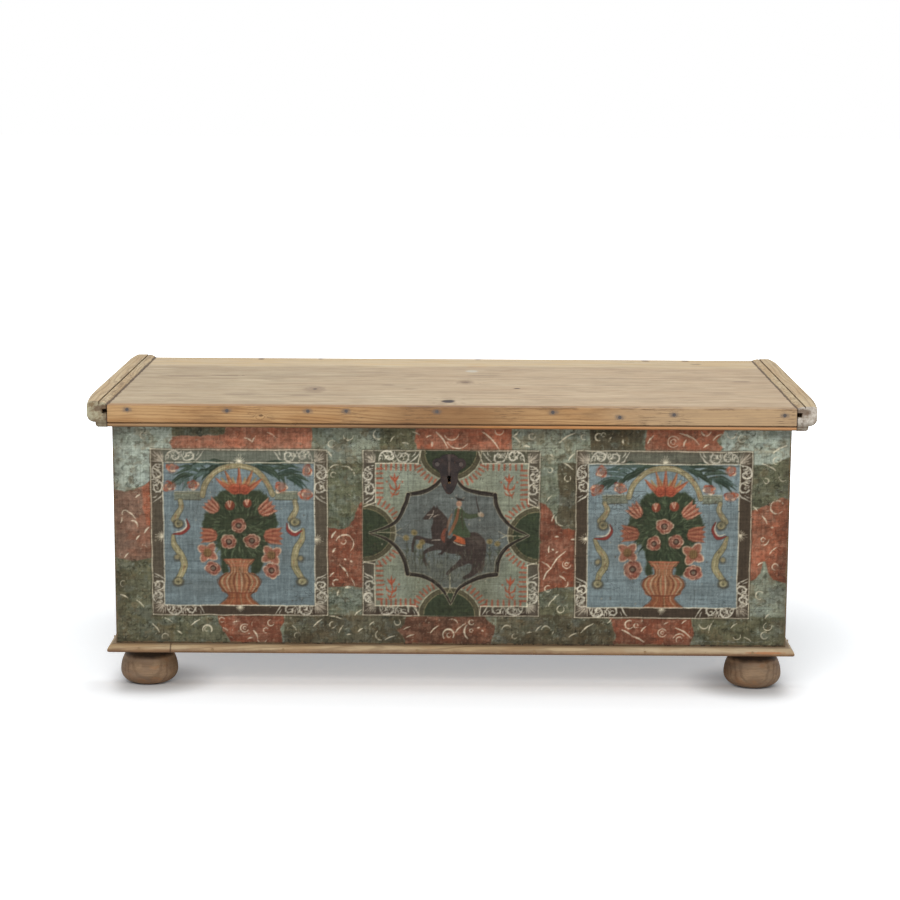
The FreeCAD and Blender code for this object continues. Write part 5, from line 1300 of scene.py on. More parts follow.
def paint_film(name, first, last):
    """A piece of the film between two columns of the net."""
    wide = last - first + 1
    x = ACROSS[:, first:last + 1].ravel()
    z = HEIGHT[:, first:last + 1].ravel()
    y = wood_face - film - stroke_height * relief[:, first:last + 1].ravel()
    number = np.arange(rows * wide).reshape(rows, wide)
    quads = np.stack([number[:-1, :-1], number[:-1, 1:], number[1:, 1:], number[1:, :-1]], -1).reshape(-1, 4)
    middle_x, middle_z = x[quads].mean(1), z[quads].mean(1)
    over_key = (abs(middle_x - key_across) < 7) & (middle_z > key_height - 20) & (middle_z < key_height + 9)
    quads = quads[~over_key]
    rim = np.concatenate([number[0, :], number[1:, -1], number[-1, -2::-1], number[-2:0:-1, 0]])
    back = len(x) + np.arange(len(rim))
    skirts = np.stack([rim, back, np.roll(back, -1), np.roll(rim, -1)], -1)
    points = np.stack([np.concatenate([x, x[rim]]), np.concatenate([y, np.full(len(rim), wood_face)]),
        np.concatenate([z, z[rim]])], -1) * mm
    faces = np.concatenate([quads, skirts])
    mesh = bpy.data.meshes.new(name)
    mesh.from_pydata(points.tolist(), [], faces.tolist())
    mesh.shade_smooth()
    colours = screen_to_light[:, first:last + 1].reshape(-1, 3)
    colours = np.concatenate([colours, colours[rim]])
    layer = mesh.color_attributes.new("paint", "FLOAT_COLOR", "POINT")
    layer.data.foreach_set("color", np.column_stack([colours, np.ones(len(colours))]).ravel())
    chart = mesh.uv_layers.new(name="OFBake")
    corners = np.zeros(len(mesh.loops), np.int32)
    mesh.loops.foreach_get("vertex_index", corners)
    flat = points[corners][:, [0, 2]]
    flat = (flat - flat.min(0)) / (flat.max(0) - flat.min(0))
    chart.data.foreach_set("uv", (0.002 + 0.996 * flat).astype(np.float32).ravel())
    piece = bpy.data.objects.new(name, mesh)
    scene.collection.objects.link(piece)
    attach(piece, "root")
    print(name, len(faces), "faces")
    return piece


cuts = [0, int(np.searchsorted(across, -206)), int(np.searchsorted(across, 207)), columns - 1]
piece_names = ("painting_left", "painting_middle", "painting_right")
paint_pieces = [paint_film(name, first, last) for name, first, last in zip(piece_names, cuts, cuts[1:])]

# %% [markdown]
# The film's material starts from the painted colours. On top come the things that are finer than the net:
# brush hairs running both ways, tiny flecks, hair cracks where the boards have moved, and wood showing on
# the worn edges. The bumps come from the same masks, so the light and the colour agree.

# %% The material of the old paint
def old_paint(name):
    """The painted film's colours, with brush marks, cracks and wear."""
    recipe = Recipe(name)
    base = recipe.node("ShaderNodeVertexColor", {"layer_name": "paint"}, {}, "Color")
    upright = recipe.spots((0.9, 0.9, 0.035), 2.0, 0.6)
    level = recipe.spots((0.035, 0.035, 0.9), 2.0, 0.6)
    flecks = recipe.spots(0.45, 3.0, 0.7)
    brushed = (upright - 0.5) * 0.42 + (level - 0.5) * 0.42 + (flecks - 0.5) * 0.70 + 1.0
    colour = base * brushed
    warp = recipe.node("ShaderNodeTexNoise", {}, {"Vector": recipe.place, "Scale": 0.08}, "Color")
    warped = recipe.place + warp * 9.0
    crack_edges = recipe.node("ShaderNodeTexVoronoi", {"feature": "DISTANCE_TO_EDGE"},
        {"Vector": warped * (0.05, 0.05, 0.095), "Scale": 1.0})
    crack_zones = recipe.spots(0.011, 3.0).rise(0.50, 0.62)
    cracks = crack_edges.rise(0.030, 0.008) * crack_zones
    hairs = recipe.spots((0.9, 0.9, 0.012), 1.0, 0.4).rise(0.66, 0.72) * recipe.spots(0.03).rise(0.45, 0.6)
    dark = (cracks * 0.5).highest(hairs * 0.34)
    colour = dark.mix(colour, pot(44, 37, 30))
    rubbed = recipe.spots(0.16, 4.0, 0.75)
    pale = rubbed.rise(0.66, 0.74) * recipe.spots(0.014).rise(0.42, 0.62)
    colour = pale.over(colour, 0.35, 158, 146, 122)
    x, z = recipe.place.part("X"), recipe.place.part("Z")
    at_ends = x.size().rise(paint_right - 9, paint_right + 1)
    near_edge = at_ends.highest(z.rise(paint_bottom + 12, paint_bottom - 2))
    near_edge = near_edge.highest(z.rise(paint_top - 9, paint_top))
    bare = (near_edge * 0.62 + recipe.spots(0.07, 5.0, 0.7)).rise(0.92, 1.02)
    colour = bare.over(colour, 0.75, 108, 90, 68)
    height = flecks * 0.10 + upright * 0.05 + level * 0.05 - cracks * 0.12 - bare * 0.10
    roughness = (flecks - 0.5) * 0.25 + bare * 0.15 + 0.62
    return recipe.finish(colour, roughness, height, specular=0.14)


front_film_paint = old_paint("old_paint_front")
for piece in paint_pieces:
    piece.data.materials.append(front_film_paint)
print("film material on", [piece.name for piece in paint_pieces])

# %% [markdown]
# ## Bare old softwood
# Spruce has light early wood and thin darker rings. A board is cut out of a round trunk, so the rings are
# distances from a line, the heart of the tree, which lies somewhere outside the board. On the flat of a
# board that gives long pointed arches, and on its end small curves, with no work of its own. Knots push
# the rings aside. Every board gets its own heart and its own knots.

# %% One recipe for all the timber
def timber(recipe, pale, warm, dark, along=0, heart=(0.0, 60.0, -90.0), gap=5.5, knots=(), worn=0.5,
        oval=0.55):
    """Colour and height of bare wood. Along is 0, 1 or 2 for a grain that runs in X, Y or Z."""
    def stretched(scale, pull=0.035):
        return tuple(scale * (pull if axis == along else 1.0) for axis in range(3))

    drift = recipe.spots(stretched(0.013, 0.12), 3.0) * 46.0 + recipe.spots(stretched(0.07, 0.06), 2.0) * 6.0
    radius = recipe.near(heart, stretched(1.0, 0.05)) + drift
    knot_heart = 0.0
    for x, y, z, size in knots:
        away = recipe.near((x, y, z), stretched(1.0, oval)) + (recipe.spots(0.13, 2.0) - 0.5) * size * 0.9
        radius = radius + away.rise(size * 3.2, size * 0.5) * gap * 2.2
        knot_heart = away.rise(size * 1.0, size * 0.55).highest(knot_heart)
    turns = radius * (2 * math.pi / gap)
    rings = recipe.node("ShaderNodeMath", {"operation": "SINE"}, {0: turns}) * 0.5 + 0.5
    late = rings.rise(0.45, 1.0) * recipe.spots(stretched(0.02), 2.0).rise(0.25, 0.6)
    fibre = recipe.spots(stretched(0.62), 4.0, 0.68)
    streaks = recipe.spots(stretched(0.075, 0.05), 4.0, 0.6)
    cloud = recipe.spots(0.006, 3.0)
    colour = (streaks * 0.65 + cloud * 0.35).rise(0.36, 0.64).mix(pale, warm)
    colour = (late * 0.42).mix(colour, dark)
    colour = (fibre.rise(0.48, 0.76) * 0.42).mix(colour, dark)
    pores = recipe.spots(stretched(0.9, 0.02), 2.0, 0.5).rise(0.64, 0.72) * recipe.spots(0.02).rise(0.4, 0.6)
    colour = (pores * 0.5).mix(colour, tuple(c * 0.35 for c in dark))
    if knots:
        colour = knot_heart.over(colour, 0.78, 84, 60, 44)
    specks = recipe.spots(0.35, 3.0, 0.7).rise(0.68, 0.76) * recipe.spots(0.012, 2.0).rise(0.45, 0.65)
    colour = (specks * worn).mix(colour, pot(92, 74, 56))
    height = fibre * 0.16 - late * 0.07 - pores * 0.10 + streaks * 0.10
    return colour, height


def wood(name, pale, warm, dark, **how):
    """A whole material of bare wood."""
    recipe = Recipe(name)
    colour, height = timber(recipe, pale, warm, dark, **how)
    return recipe.finish(colour, recipe.satin(0.52), height)


print("a pale spruce:", [round(c, 2) for c in pot(203, 184, 154)])

# %% [markdown]
# ### The lid
# The top is pale and dry, scrubbed for two centuries. The photograph looks along it at a low angle, so a
# mark there spans several centimetres of board. Each knot, stain and split has its own row in a table.

# %% Lid boards
lid_pale, lid_warm, lid_dark = pot(199, 181, 152), pot(186, 164, 134), pot(120, 96, 74)
lid_boards = {
    "lid_board_front": ((0, -240, 470), [(-7, -273, 566, 22), (-277, -119, 566, 12), (131, -96, 566, 6)]),
    "lid_board_middle": ((60, 40, 430), [(27, -11, 566, 20), (-440, 70, 566, 6)]),
    "lid_board_back": ((-80, 300, 455), [(-425, 333, 566, 13), (-294, 338, 566, 9), (424, 336, 566, 15),
                                         (512, 338, 566, 17), (54, 340, 566, 8)]),
}
KNOT, STAIN, PATCH, SPLIT = pot(52, 42, 40), pot(128, 108, 90), pot(196, 192, 178), pot(84, 64, 50)
lid_marks = [
    # middle x and y, half length and half depth, colour, strength
    (-7, -273, 15, 22, KNOT, 1.0), (-277, -119, 4, 14, KNOT, 0.9), (-277, -126, 26, 46, STAIN, 0.5),
    (27, -11, 6, 15, STAIN, 0.8), (27, -11, 20, 34, STAIN, 0.4), (40, 153, 15, 20, PATCH, 0.75),
    (131, -96, 8, 6, KNOT, 0.9), (-425, 333, 7, 16, STAIN, 0.8), (-294, 338, 6, 12, STAIN, 0.7),
    (424, 336, 10, 14, STAIN, 0.8), (512, 338, 9, 14, STAIN, 0.85), (530, 284, 14, 10, SPLIT, 0.45),
    (54, 342, 7, 10, STAIN, 0.8), (-476, 68, 44, 7, STAIN, 0.7), (-563, 56, 56, 14, STAIN, 0.5),
    (63, 86, 46, 10, STAIN, 0.5), (598, 21, 22, 10, STAIN, 0.6), (-132, -57, 15, 4, SPLIT, 0.7),
    (-84, -111, 16, 4, SPLIT, 0.6), (-420, -190, 40, 26, STAIN, 0.3),
    (50, 223, 26, 7, pot(176, 132, 92), 0.5), (260, -45, 330, 2.6, SPLIT, 0.5),
    (-300, -205, 24, 12, STAIN, 0.35), (542, -141, 40, 9, STAIN, 0.35),
    (330, 60, 60, 8, STAIN, 0.3), (-180, 120, 70, 9, STAIN, 0.3), (180, -190, 60, 10, STAIN, 0.3),
]
for name, (heart, knots) in lid_boards.items():
    recipe = Recipe(name)
    colour, height = timber(recipe, lid_pale, lid_warm, lid_dark, heart=heart, gap=8.0, knots=knots,
        worn=0.35, oval=1.5)
    x, y, z = (recipe.place.part(axis) for axis in "XYZ")
    rightward = (x + (recipe.spots(0.006) - 0.5) * 500).rise(-560, 420)
    weathered = rightward.mix(pot(166, 152, 128), pot(188, 163, 136))
    colour = (y.rise(250, 200) * 0.38).mix(colour, weathered)
    smudges = recipe.spots((0.010, 0.024, 0.024), 5.0, 0.62).rise(0.44, 0.66)
    colour = smudges.over(colour, 0.34, 150, 133, 110)
    streaks = recipe.spots((0.016, 0.10, 0.10), 4.0, 0.65).rise(0.50, 0.68)
    colour = streaks.over(colour, 0.30, 138, 112, 86)
    hairlines = recipe.spots((0.008, 0.22, 0.22), 3.0, 0.6).rise(0.58, 0.70)
    colour = hairlines.over(colour, 0.30, 126, 100, 76)
    bleached = recipe.spots((0.012, 0.05, 0.05), 3.0, at=recipe.place + (700.0, 0.0, 0.0)).rise(0.54, 0.68)
    colour = bleached.over(colour, 0.26, 214, 198, 168)
    back_glow = (y + (recipe.spots((0.005, 0.03, 0.03), 4.0, 0.6) - 0.5) * 150).rise(196, 256)
    colour = back_glow.over(colour, 0.42, 214, 194, 158)
    honey = recipe.spots((0.008, 0.03, 0.03), 3.0, at=recipe.place + (0.0, 900.0, 0.0))
    honey = honey.rise(0.45, 0.62) * back_glow
    colour = honey.over(colour, 0.45, 200, 172, 128)
    # Painted highlight: a thin pale line across the back board.
    cream = (y - 238 + (recipe.spots((0.01, 0.05, 0.05)) - 0.5) * 16).size().rise(9, 3)
    colour = cream.over(colour, 0.22, 222, 206, 174)
    for mark_x, mark_y, long, deep, shade, strength in lid_marks:
        low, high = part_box(name)
        if low.y * 1000 - deep < mark_y < high.y * 1000 + deep:
            away = recipe.near((mark_x, mark_y, 566), (1 / long, 1 / deep, 0.02))
            away = away + (recipe.spots((0.05, 0.12, 0.12), 3.0, 0.6) - 0.5) * 0.9
            colour = (away.rise(1.15, 0.55) * strength).mix(colour, shade)
    seams = y + (recipe.spots((0.01, 0.2, 0.2)) - 0.5) * 1.5
    joint = (seams + 91).size().rise(1.6, 0.5).highest((seams - 189).size().rise(1.4, 0.4))
    colour = joint.over(colour, 0.2, 120, 98, 74)
    rims = (y + (recipe.spots(0.03, 4.0) - 0.5) * 14).rise(-314, -327).highest(y.rise(342, 348))
    colour = rims.over(colour, 0.5, 164, 132, 96)
    # Painted shadow in the seams between the lid boards and the cleats.
    painted_seam_shadow = (x.size() + (recipe.spots(0.07, 4.0, 0.7) - 0.5) * 7).rise(657.5, 660.0)
    colour = painted_seam_shadow.over(colour, 0.85, 66, 44, 28)
    inside = z.rise(547.5, 546.0)
    colour = inside.over(colour, 0.45, 168, 136, 98)
    wear([name], recipe.finish(colour, recipe.satin(0.55), height))
print("lid boards:", len(lid_boards), "marks:", len(lid_marks))

# %% [markdown]
# ### The front strip and the cleats
# The strip under the lid's front edge is warmer than the lid. Each nail has bled a blue-grey stain into
# the wood round it, so the stains are measured from the nails themselves. The recipe reads their places
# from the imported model.

# %% Where the nails are
def separate_places(name):
    """The middle of each separate solid in a node, in millimetres."""
    mesh = nodes[name].data
    parent = list(range(len(mesh.vertices)))

    def top(i):
        while parent[i] != i:
            parent[i] = parent[parent[i]]
            i = parent[i]
        return i

    for a, b in mesh.edge_keys:
        parent[top(a)] = top(b)
    groups = {}
    for vertex in mesh.vertices:
        groups.setdefault(top(vertex.index), []).append(vertex.co)
    merged = []
    for members in groups.values():
        middle = sum(members, Vector()) / len(members) * 1000
        if all((middle - other).length > 4 for other in merged):
            merged.append(middle)
    return merged


strip_nail_places = separate_places("lid_strip_nails")
print(len(strip_nail_places), "nails in the strip at", sorted(round(place.x) for place in strip_nail_places))

# %% The strip
recipe = Recipe("lid_front_strip")
colour, height = timber(recipe, pot(186, 150, 106), pot(162, 122, 80), pot(104, 72, 46), heart=(0, -290, 610),
    gap=5.0, knots=[(-366, -350, 548, 3.0), (-300, -350, 530, 2.0)], worn=0.55)
x, y, z = (recipe.place.part(axis) for axis in "XYZ")
brown_middle = (recipe.spots((0.006, 0.02, 0.02), 3.0) * 160 + x.size()).rise(330, 120)
colour = brown_middle.over(colour, 0.62, 122, 88, 58)
blotch = recipe.spots((0.012, 0.05, 0.05), 4.0, 0.65).rise(0.5, 0.68)
colour = blotch.over(colour, 0.38, 112, 82, 56)
pale_right = (x + recipe.spots((0.01, 0.05, 0.05), 3.0) * 200).rise(330, 520)
colour = pale_right.over(colour, 0.6, 180, 156, 124)
scratch_field = recipe.spots((0.028, 0.42, 0.42), 4.0, 0.7).rise(0.53, 0.62)
scratched = 0.0
for middle, reach in ((-368, 40), (402, 80), (110, 44), (-60, 50), (-190, 40), (640, 24)):
    scratched = (x - middle).size().rise(reach, reach * 0.4).highest(scratched)
colour = (scratch_field * scratched * 0.6).mix(colour, pot(74, 58, 47))
flecked = recipe.spots((0.12, 0.3, 0.3), 3.0, 0.7).rise(0.66, 0.72)
colour = flecked.over(colour, 0.55, 72, 56, 44)
stain = 0.0
for place in strip_nail_places:
    away = recipe.near(place, (0.62, 1.0, 1.1)) + (recipe.spots(0.16, 4.0, 0.7) - 0.5) * 9.0
    stain = away.rise(8.5, 2.5).highest(stain)
colour = stain.over(colour, 0.62, 96, 88, 84)
rightward = (x + recipe.spots((0.01, 0.1, 0.1)) * 260).rise(60, 260)
bead_colour = rightward.mix(pot(132, 104, 76), pot(186, 122, 66))
bead = z.rise(531.5, 530.0)
colour = (bead * 0.55).mix(colour, bead_colour)
# Painted shade: a dark line in the groove above the bead.
painted_groove_shadow = (z - 531.6).size().rise(1.5, 0.5) * y.rise(-344, -349)
colour = painted_groove_shadow.over(colour, 0.85, 64, 42, 28)
worn_edge = (z + (recipe.spots((0.04, 0.1, 0.1), 4.0, 0.7) - 0.5) * 9 - 564.5).size()
worn_edge = worn_edge.rise(2.2, 0.6) * x.rise(-200, -60)
colour = (worn_edge * recipe.spots(0.02, 2.0).rise(0.4, 0.6) * 0.5).mix(colour, pot(96, 72, 52))
# Painted shade on the underside of the strip.
painted_underside_shade = z.rise(527.5, 525.0)
colour = painted_underside_shade.over(colour, 0.6, 84, 62, 44)
wear(["lid_front_strip"], recipe.finish(colour, recipe.satin(0.5), height))
print("strip dressed")

# %% The cleats
seam_side, bead_width, quirk_width = 660.5, 15.0, 2.0
for name, paint_pale, paint_dark, side in (("lid_cleat_left", pot(166, 162, 137), pot(118, 101, 76), -1),
        ("lid_cleat_right", pot(200, 194, 184), pot(148, 137, 126), 1)):
    recipe = Recipe(name)
    colour, height = timber(recipe, pot(198, 179, 144), pot(181, 155, 118), pot(112, 87, 62), along=1,
        heart=(side * 640, 0, 470), gap=5.5, knots=[(side * 668, 20, 573, 3.5)], worn=0.6)
    x, y, z = (recipe.place.part(axis) for axis in "XYZ")
    old_end = (y + (recipe.spots(0.06, 4.0, 0.7) - 0.5) * 16 + (z - 548) * 0.1).rise(-338, -346)
    old_under = z.rise(534, 528)
    painted = recipe.spots(0.07, 5.0, 0.75).rise(0.40, 0.62).mix(paint_pale, paint_dark)
    scrapings = recipe.spots((0.02, 0.5, 0.35), 3.0, 0.7).rise(0.58, 0.68)
    painted = scrapings.over(painted, 0.5, 96, 82, 68)
    # Painted shade: a dark line in the groove across the cleat's painted end.
    painted_step_shadow = (z - 531.5).size().rise(1.6, 0.4)
    painted = painted_step_shadow.over(painted, 0.7, 62, 50, 42)
    soiled = (z + (recipe.spots(0.09, 4.0, 0.7) - 0.5) * 12).rise(543, 533) + (x * side).rise(700, 709) * 0.7
    painted = soiled.over(painted, 0.65, 76, 68, 54)
    knocked = recipe.near((side * 670, -350, 560), (0.6, 0.3, 1.6))
    knocked = knocked + (recipe.spots(0.12, 4.0, 0.7) - 0.5) * 16
    painted = (knocked.rise(14.0, 7.0) * 0.8).mix(painted, pot(82, 60, 46))
    left_on = recipe.spots(0.085, 5.0, 0.75).rise(0.28, 0.38)
    colour = (old_end.highest(old_under * 0.7) * left_on * 0.9).mix(colour, painted)
    outer_face = (x * side).rise(704, 708)
    grey_side = recipe.spots((0.05, 0.01, 0.05), 4.0).rise(0.35, 0.6)
    colour = (outer_face * grey_side * 0.6).mix(colour, pot(150, 140, 120))
    wander = (recipe.spots((0.06, 0.02, 0.06), 3.0) - 0.5) * 5
    # Painted shadow in the seam between the cleat and the lid boards.
    dirt_and_seam_shadow = (x * side + wander).rise(664.0, 661.5)
    colour = dirt_and_seam_shadow.over(colour, 0.85, 56, 38, 25)
    # Painted shade: a dark line in the quirk beside the bead on the cleat's top.
    painted_quirk_shade = (x * side + wander * 0.3 - seam_side - bead_width - quirk_width / 2).size().rise(1.9, 0.9)
    painted_quirk_shade = painted_quirk_shade * z.rise(566.5, 568.0) * (recipe.spots((0.05, 0.03, 0.05), 3.0).rise(0.3, 0.6) * 0.6 + 0.4)
    colour = painted_quirk_shade.over(colour, 0.7, 72, 50, 34)
    on_bead = (x * side).rise(677.0, 671.0)
    chips = recipe.spots(0.09, 4.0, 0.7).rise(0.56, 0.64) * on_bead
    colour = chips.over(colour, 0.6, 86, 66, 48)
    nicks = recipe.spots((0.05, 0.17, 0.1), 2.0, 0.6).rise(0.50, 0.58) * on_bead * y.rise(60, -200)
    colour = nicks.over(colour, 0.5, 84, 62, 44)
    scrapes = recipe.spots((0.3, 0.06, 0.3), 3.0, 0.7).rise(0.62, 0.7)
    colour = scrapes.over(colour, 0.35, 98, 80, 62)
    wear([name], recipe.finish(colour, recipe.satin(0.52), height + left_on * old_end * 0.15))
print("cleats dressed")

# %% [markdown]
# ### The case, the plinth and the feet
# The front panel and the ends are painted outside and bare inside, so their recipes choose by place. The
# plinth is pale above, with painted shade in brown towards its lower edge, and has a patched corner. The
# turned feet carry the marks of the lathe, a painted shadow under the plinth, a painted highlight ring, and
# orange wood low down where the grey has worn off.

# %% Painted panels
inner_pale, inner_warm, inner_dark = pot(196, 164, 120), pot(178, 142, 98), pot(128, 96, 62)


def panel(name, outside, painted, heart, along=0):
    """Old paint on the outside, bare boards within. Outside is a function of the recipe, from 0 to 1."""
    recipe = Recipe(name)
    bare, height = timber(recipe, inner_pale, inner_warm, inner_dark, heart=heart, gap=6.5, along=along)
    mask = outside(recipe)
    cloudy = recipe.spots(0.010, 4.0, 0.6).rise(0.36, 0.66)
    paint = cloudy.mix(painted[0], painted[1])
    strokes = (recipe.spots((0.5, 0.5, 0.02), 3.0, 0.65) - 0.5) * 0.35
    strokes = strokes + (recipe.spots((0.4, 0.02, 0.4), 3.0) - 0.5) * 0.2
    paint = paint * (strokes + 1.0)
    paint = ((recipe.spots(0.22, 4.0, 0.7) - 0.5) * 0.5 + 1.0) * paint
    dirt_and_shadow = recipe.spots((0.02, 0.03, 0.012), 6.0, 0.75).rise(0.5, 0.66)
    paint = dirt_and_shadow.over(paint, 0.45, 74, 66, 52)
    low_dirt = (recipe.place.part("Z") + (recipe.spots(0.03, 3.0) - 0.5) * 70).rise(190, 95)
    paint = low_dirt.over(paint, 0.55, 62, 54, 44)
    gone = recipe.spots((0.055, 0.02, 0.055), 5.0, 0.72).rise(0.585, 0.63)
    edge = recipe.place.part("Y").size().rise(306, 324) * 0.1 + recipe.place.part("Z").rise(528, 540) * 0.12
    chipped = recipe.spots(0.12, 5.0, 0.75)
    gone = gone.highest((chipped + edge).rise(0.66, 0.70))
    paint = (gone * 0.85).mix(paint, bare * 0.72)
    colour = mask.mix(bare, paint)
    bumps = height + mask * (1.0 - gone) * 0.18
    return recipe.finish(colour, recipe.spots(0.04, 3.0) * 0.2 + 0.54, bumps)


def past_ends(recipe):
    return recipe.place.part("X").size().rise(655.2, 655.4)


def past_front(recipe):
    return past_ends(recipe).highest(recipe.place.part("Y").rise(-323.6, -323.8))


end_pots = (pot(112, 116, 100), pot(86, 86, 70))
wear(["front_panel"], panel("front_panel", past_front, end_pots, (0, -240, 700)))
wear(["left_end_panel"], panel("left_end_panel", past_ends, end_pots, (-700, 0, 760), along=1))
wear(["right_end_panel"], panel("right_end_panel", past_ends, end_pots, (700, 60, 740), along=1))
print("panels dressed")

# %% Back, bottom and wedges
back_knots = [(-330, 335, 400, 11), (240, 335, 210, 13), (500, 335, 420, 8), (-90, 335, 180, 7)]
wear(["back_panel"], wood("back_panel", pot(176, 148, 110), pot(150, 118, 82), pot(98, 72, 48),
    heart=(0, 420, 380), gap=8.0, knots=back_knots))
for number, name in enumerate(("bottom_board_front", "bottom_board_middle", "bottom_board_back")):
    wear([name], wood(name, inner_pale, inner_warm, inner_dark, heart=(0, -200 + 210 * number, 30), gap=7.0,
        knots=[(-300 + 260 * number, -200 + 200 * number, 91, 8)]))
wear(["foot_wedges"], wood("foot_wedges", pot(176, 142, 100), pot(156, 120, 80), pot(106, 78, 50), along=2,
    gap=3.5))

# %% Plinth
for name, along, heart in (("plinth_front", 0, (0, -300, 40)), ("plinth_front_patch", 0, (-600, -290, 120)),
        ("plinth_left", 1, (-640, 0, 40)), ("plinth_right", 1, (640, 0, 40))):
    recipe = Recipe(name)
    colour, height = timber(recipe, pot(180, 159, 126), pot(164, 140, 106), pot(104, 80, 56), along=along,
        heart=heart, gap=4.5, worn=0.6)
    x, y, z = (recipe.place.part(axis) for axis in "XYZ")
    # Painted shade: the lower edge of the plinth, where it rounds under, is painted brown.
    lower = (z + (recipe.spots(0.05, 4.0, 0.65) - 0.5) * 7).rise(86.0, 78.0)
    colour = lower.over(colour, 0.85, 110, 79, 57)
    pale_right = (x + (recipe.spots(0.01) - 0.5) * 200).rise(180, 480) * (z - 82).rise(-3, 3)
    colour = pale_right.over(colour, 0.5, 186, 168, 140)
    rubbed = recipe.spots((0.014, 0.014, 0.06), 4.0).rise(0.46, 0.64)
    colour = rubbed.over(colour, 0.4, 152, 120, 86)
    chip = recipe.near((616, -340, 83), (0.055, 1.0, 0.75)) + (recipe.spots(0.12, 3.0) - 0.5) * 2.4
    colour = (chip.rise(2.4, 1.7) * 0.7).mix(colour, pot(164, 104, 62))
    # Painted shadow on the plinth's top, just under the front panel.
    painted_shade_under_front = (z - 90.2).rise(-1.2, 0.5)
    colour = painted_shade_under_front.over(colour, 0.5, 84, 66, 50)
    seam = (x + 548).size().rise(2.6, 0.5) * y.rise(-300, -330)
    colour = seam.over(colour, 0.6, 70, 50, 36)
    dents = recipe.spots(0.11, 4.0, 0.72).rise(0.68, 0.75)
    colour = dents.over(colour, 0.6, 96, 70, 50)
    wear([name], recipe.finish(colour, recipe.satin(0.5), height - dents * 0.25))
print("plinth dressed")

# %% Turned feet
for name in ("foot_front_left", "foot_front_right", "foot_back_left", "foot_back_right"):
    low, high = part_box(name)
    middle_x, middle_y = (low.x + high.x) * 500, (low.y + high.y) * 500
    recipe = Recipe(name)
    colour, height = timber(recipe, pot(146, 121, 94), pot(130, 103, 79), pot(82, 60, 45), along=0, gap=9.0,
        heart=(middle_x, middle_y + 14, 18), worn=0.75)
    z = recipe.place.part("Z")
    lathe = recipe.spots((0.010, 0.010, 0.55), 3.0, 0.7)
    colour = ((lathe - 0.5) * 0.8 + 1.0) * colour
    # Painted highlight: a pale ring round the upper part of each foot.
    painted_highlight_ring = (z - 51 + (recipe.spots(0.04, 2.0) - 0.5) * 6).size().rise(4.5, 0.5)
    colour = painted_highlight_ring.over(colour, 0.28, 176, 152, 128)
    lines = recipe.spots((0.02, 0.02, 0.9), 2.0).rise(0.62, 0.70)
    colour = lines.over(colour, 0.3, 84, 62, 48)
    orange = (recipe.spots((0.028, 0.028, 0.05), 4.0, 0.65) + z.rise(34.0, 8.0) * 0.14).rise(0.58, 0.72)
    colour = orange.over(colour, 0.5, 150, 108, 72)
    grey = recipe.spots((0.02, 0.02, 0.035), 4.0).rise(0.45, 0.65)
    colour = grey.over(colour, 0.4, 122, 106, 90)
    # Painted shadow: the top of each foot, under the plinth, is painted very dark.
    dirt_and_shadow = (z + (recipe.spots(0.05, 3.0) - 0.5) * 8).rise(52.0, 60.0)
    colour = dirt_and_shadow.over(colour, 0.9, 40, 31, 25)
    sole = (z + (recipe.spots(0.09, 3.0) - 0.5) * 3).rise(4.0, 1.0)
    colour = sole.over(colour, 0.7, 72, 54, 42)
    wear([name], recipe.finish(colour, 0.6, height + lathe * 0.3, specular=0.3))
print("feet dressed")

# %% [markdown]
# ## Hand-forged iron
# Old iron is nearly black, brown where it rusts, and shiny only where hands have rubbed it. The mask for
# rust also makes the surface rougher and stops it reflecting.

# %% Iron
def iron(name, dark, brown, rub, scale=0.06, rust=0.5):
    recipe = Recipe(name)
    hammer = recipe.spots(scale, 3.0, 0.6)
    rusty = recipe.spots(scale * 2.2, 5.0, 0.7).rise(0.62 - rust * 0.16, 0.78 - rust * 0.16)
    colour = rusty.mix(dark, brown)
    rubbed = recipe.spots(scale * 1.4, 4.0, 0.65).rise(0.6, 0.75)
    colour = (rubbed * 0.5).mix(colour, rub)
    grit = recipe.spots(0.8, 3.0, 0.7)
    colour = colour * ((grit - 0.5) * 0.5 + 1.0)
    roughness = rusty * 0.26 + 0.46 - rubbed * 0.08
    height = hammer * 0.5 + grit * 0.10 + rusty * 0.08
    return recipe.finish(colour, roughness, height, 0.8, metallic=0.75 - rusty * 0.55, specular=0.5)


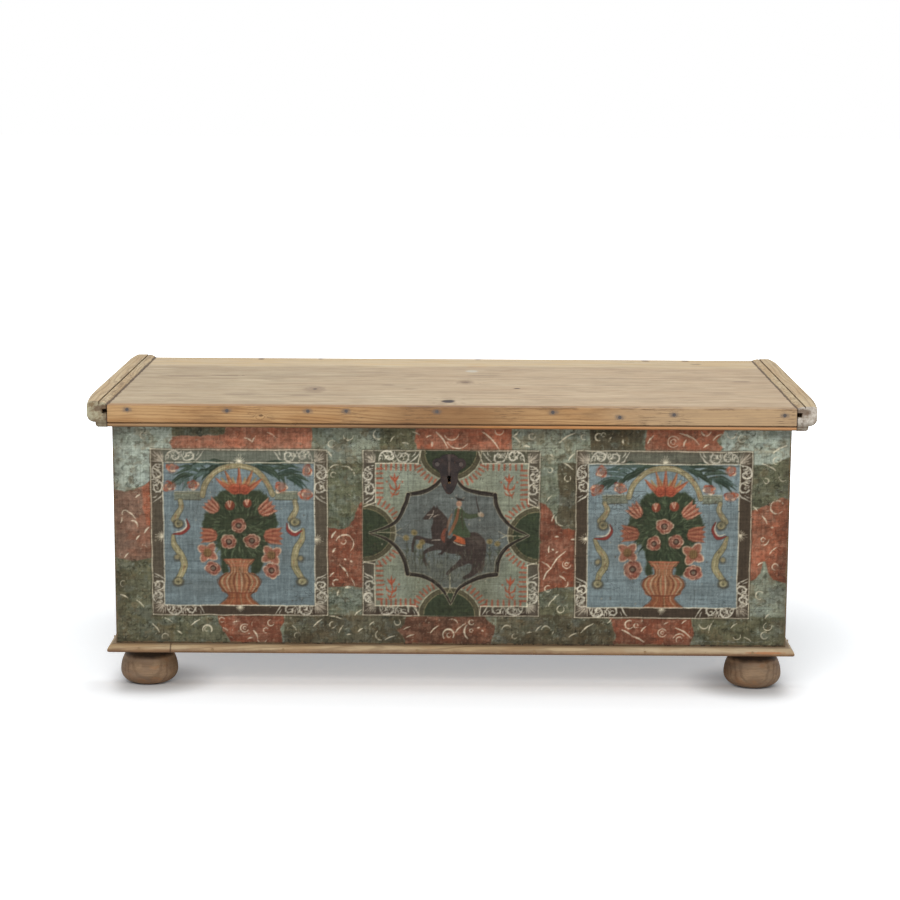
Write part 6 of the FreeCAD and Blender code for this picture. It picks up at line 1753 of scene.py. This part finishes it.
black_iron = iron("black_iron", pot(74, 68, 64), pot(104, 74, 56), pot(130, 120, 112))
nail_iron = iron("nail_iron", pot(72, 70, 72), pot(92, 72, 60), pot(104, 104, 108), rust=0.4)
lock_iron = iron("lock_iron", pot(86, 80, 76), pot(112, 82, 60), pot(150, 142, 134), rust=0.35)
stained_nails = iron("stained_nails", pot(92, 86, 84), pot(112, 96, 82), pot(122, 116, 112), rust=0.5)
puttied_nails = iron("puttied_nails", pot(150, 124, 92), pot(132, 104, 76), pot(164, 140, 108), rust=0.5)
for entry in frame["record"]["subparts"]:
    group = {"hinge_iron": black_iron, "handle_iron": black_iron, "nail_iron": nail_iron,
        "lock_iron": lock_iron}.get(entry["material_slot"])
    group = {"lid_strip_nails": stained_nails, "plinth_nails": puttied_nails}.get(entry["node"], group)
    if group:
        wear([entry["node"]], group)
print("irons dressed")

# %% The key plate
recipe = Recipe("key_plate")
plate_low, plate_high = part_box("escutcheon")
plate_x = (plate_low.x + plate_high.x) * 500
x, y, z = (recipe.place.part(axis) for axis in "XYZ")
base = recipe.spots(0.05, 4.0, 0.6).rise(0.38, 0.62).mix(pot(36, 29, 28), pot(52, 41, 37))
# Painted highlight along the plate's middle ridge.
painted_ridge_highlight = (x - plate_x + (recipe.spots(0.06, 2.0) - 0.5) * 4).size().rise(4.5, 1.0) * (z - 436).rise(-4, 4)
colour = painted_ridge_highlight.over(base, 0.35, 104, 90, 82)
raised = (plate_low.y * 1000 - y).rise(-2.2, -0.3)
colour = raised.over(colour, 0.16, 104, 88, 80)
rust = recipe.spots(0.11, 5.0, 0.72).rise(0.58, 0.68)
colour = rust.over(colour, 0.45, 104, 70, 52)
scuffs = recipe.spots((0.05, 0.4, 0.6), 3.0, 0.7).rise(0.62, 0.7)
colour = scuffs.over(colour, 0.35, 112, 100, 92)
colour = colour * ((recipe.spots(0.3, 3.0, 0.7) - 0.5) * 0.6 + 1.0)
pitted = recipe.spots(0.09, 4.0) * 0.8 - rust * 0.1
key_plate = recipe.finish(colour, rust * 0.25 + 0.42, pitted, metallic=0.25, specular=0.35)
wear(["escutcheon"], key_plate)
wear(["escutcheon_nails"], iron("plate_rivets", pot(84, 76, 72), pot(84, 64, 54), pot(124, 116, 110),
    rust=0.35))
print("key plate dressed")

# %% [markdown]
# ## Last checks
# Every solid must wear a material, and the picture must not have made the chest bigger than its model.

# %% Measure and finish
undressed = [name for name, solid in nodes.items()
             if not solid.material_slots or not all(slot.material for slot in solid.material_slots)]
visual_low, visual_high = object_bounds()
growth = [(high - low) - (cad_top - cad_bottom) for low, high, cad_bottom, cad_top in
          zip(visual_low, visual_high, cad_low, cad_high)]
print("undressed:", undressed, "growth in mm:", [round(more * 1000, 2) for more in growth])
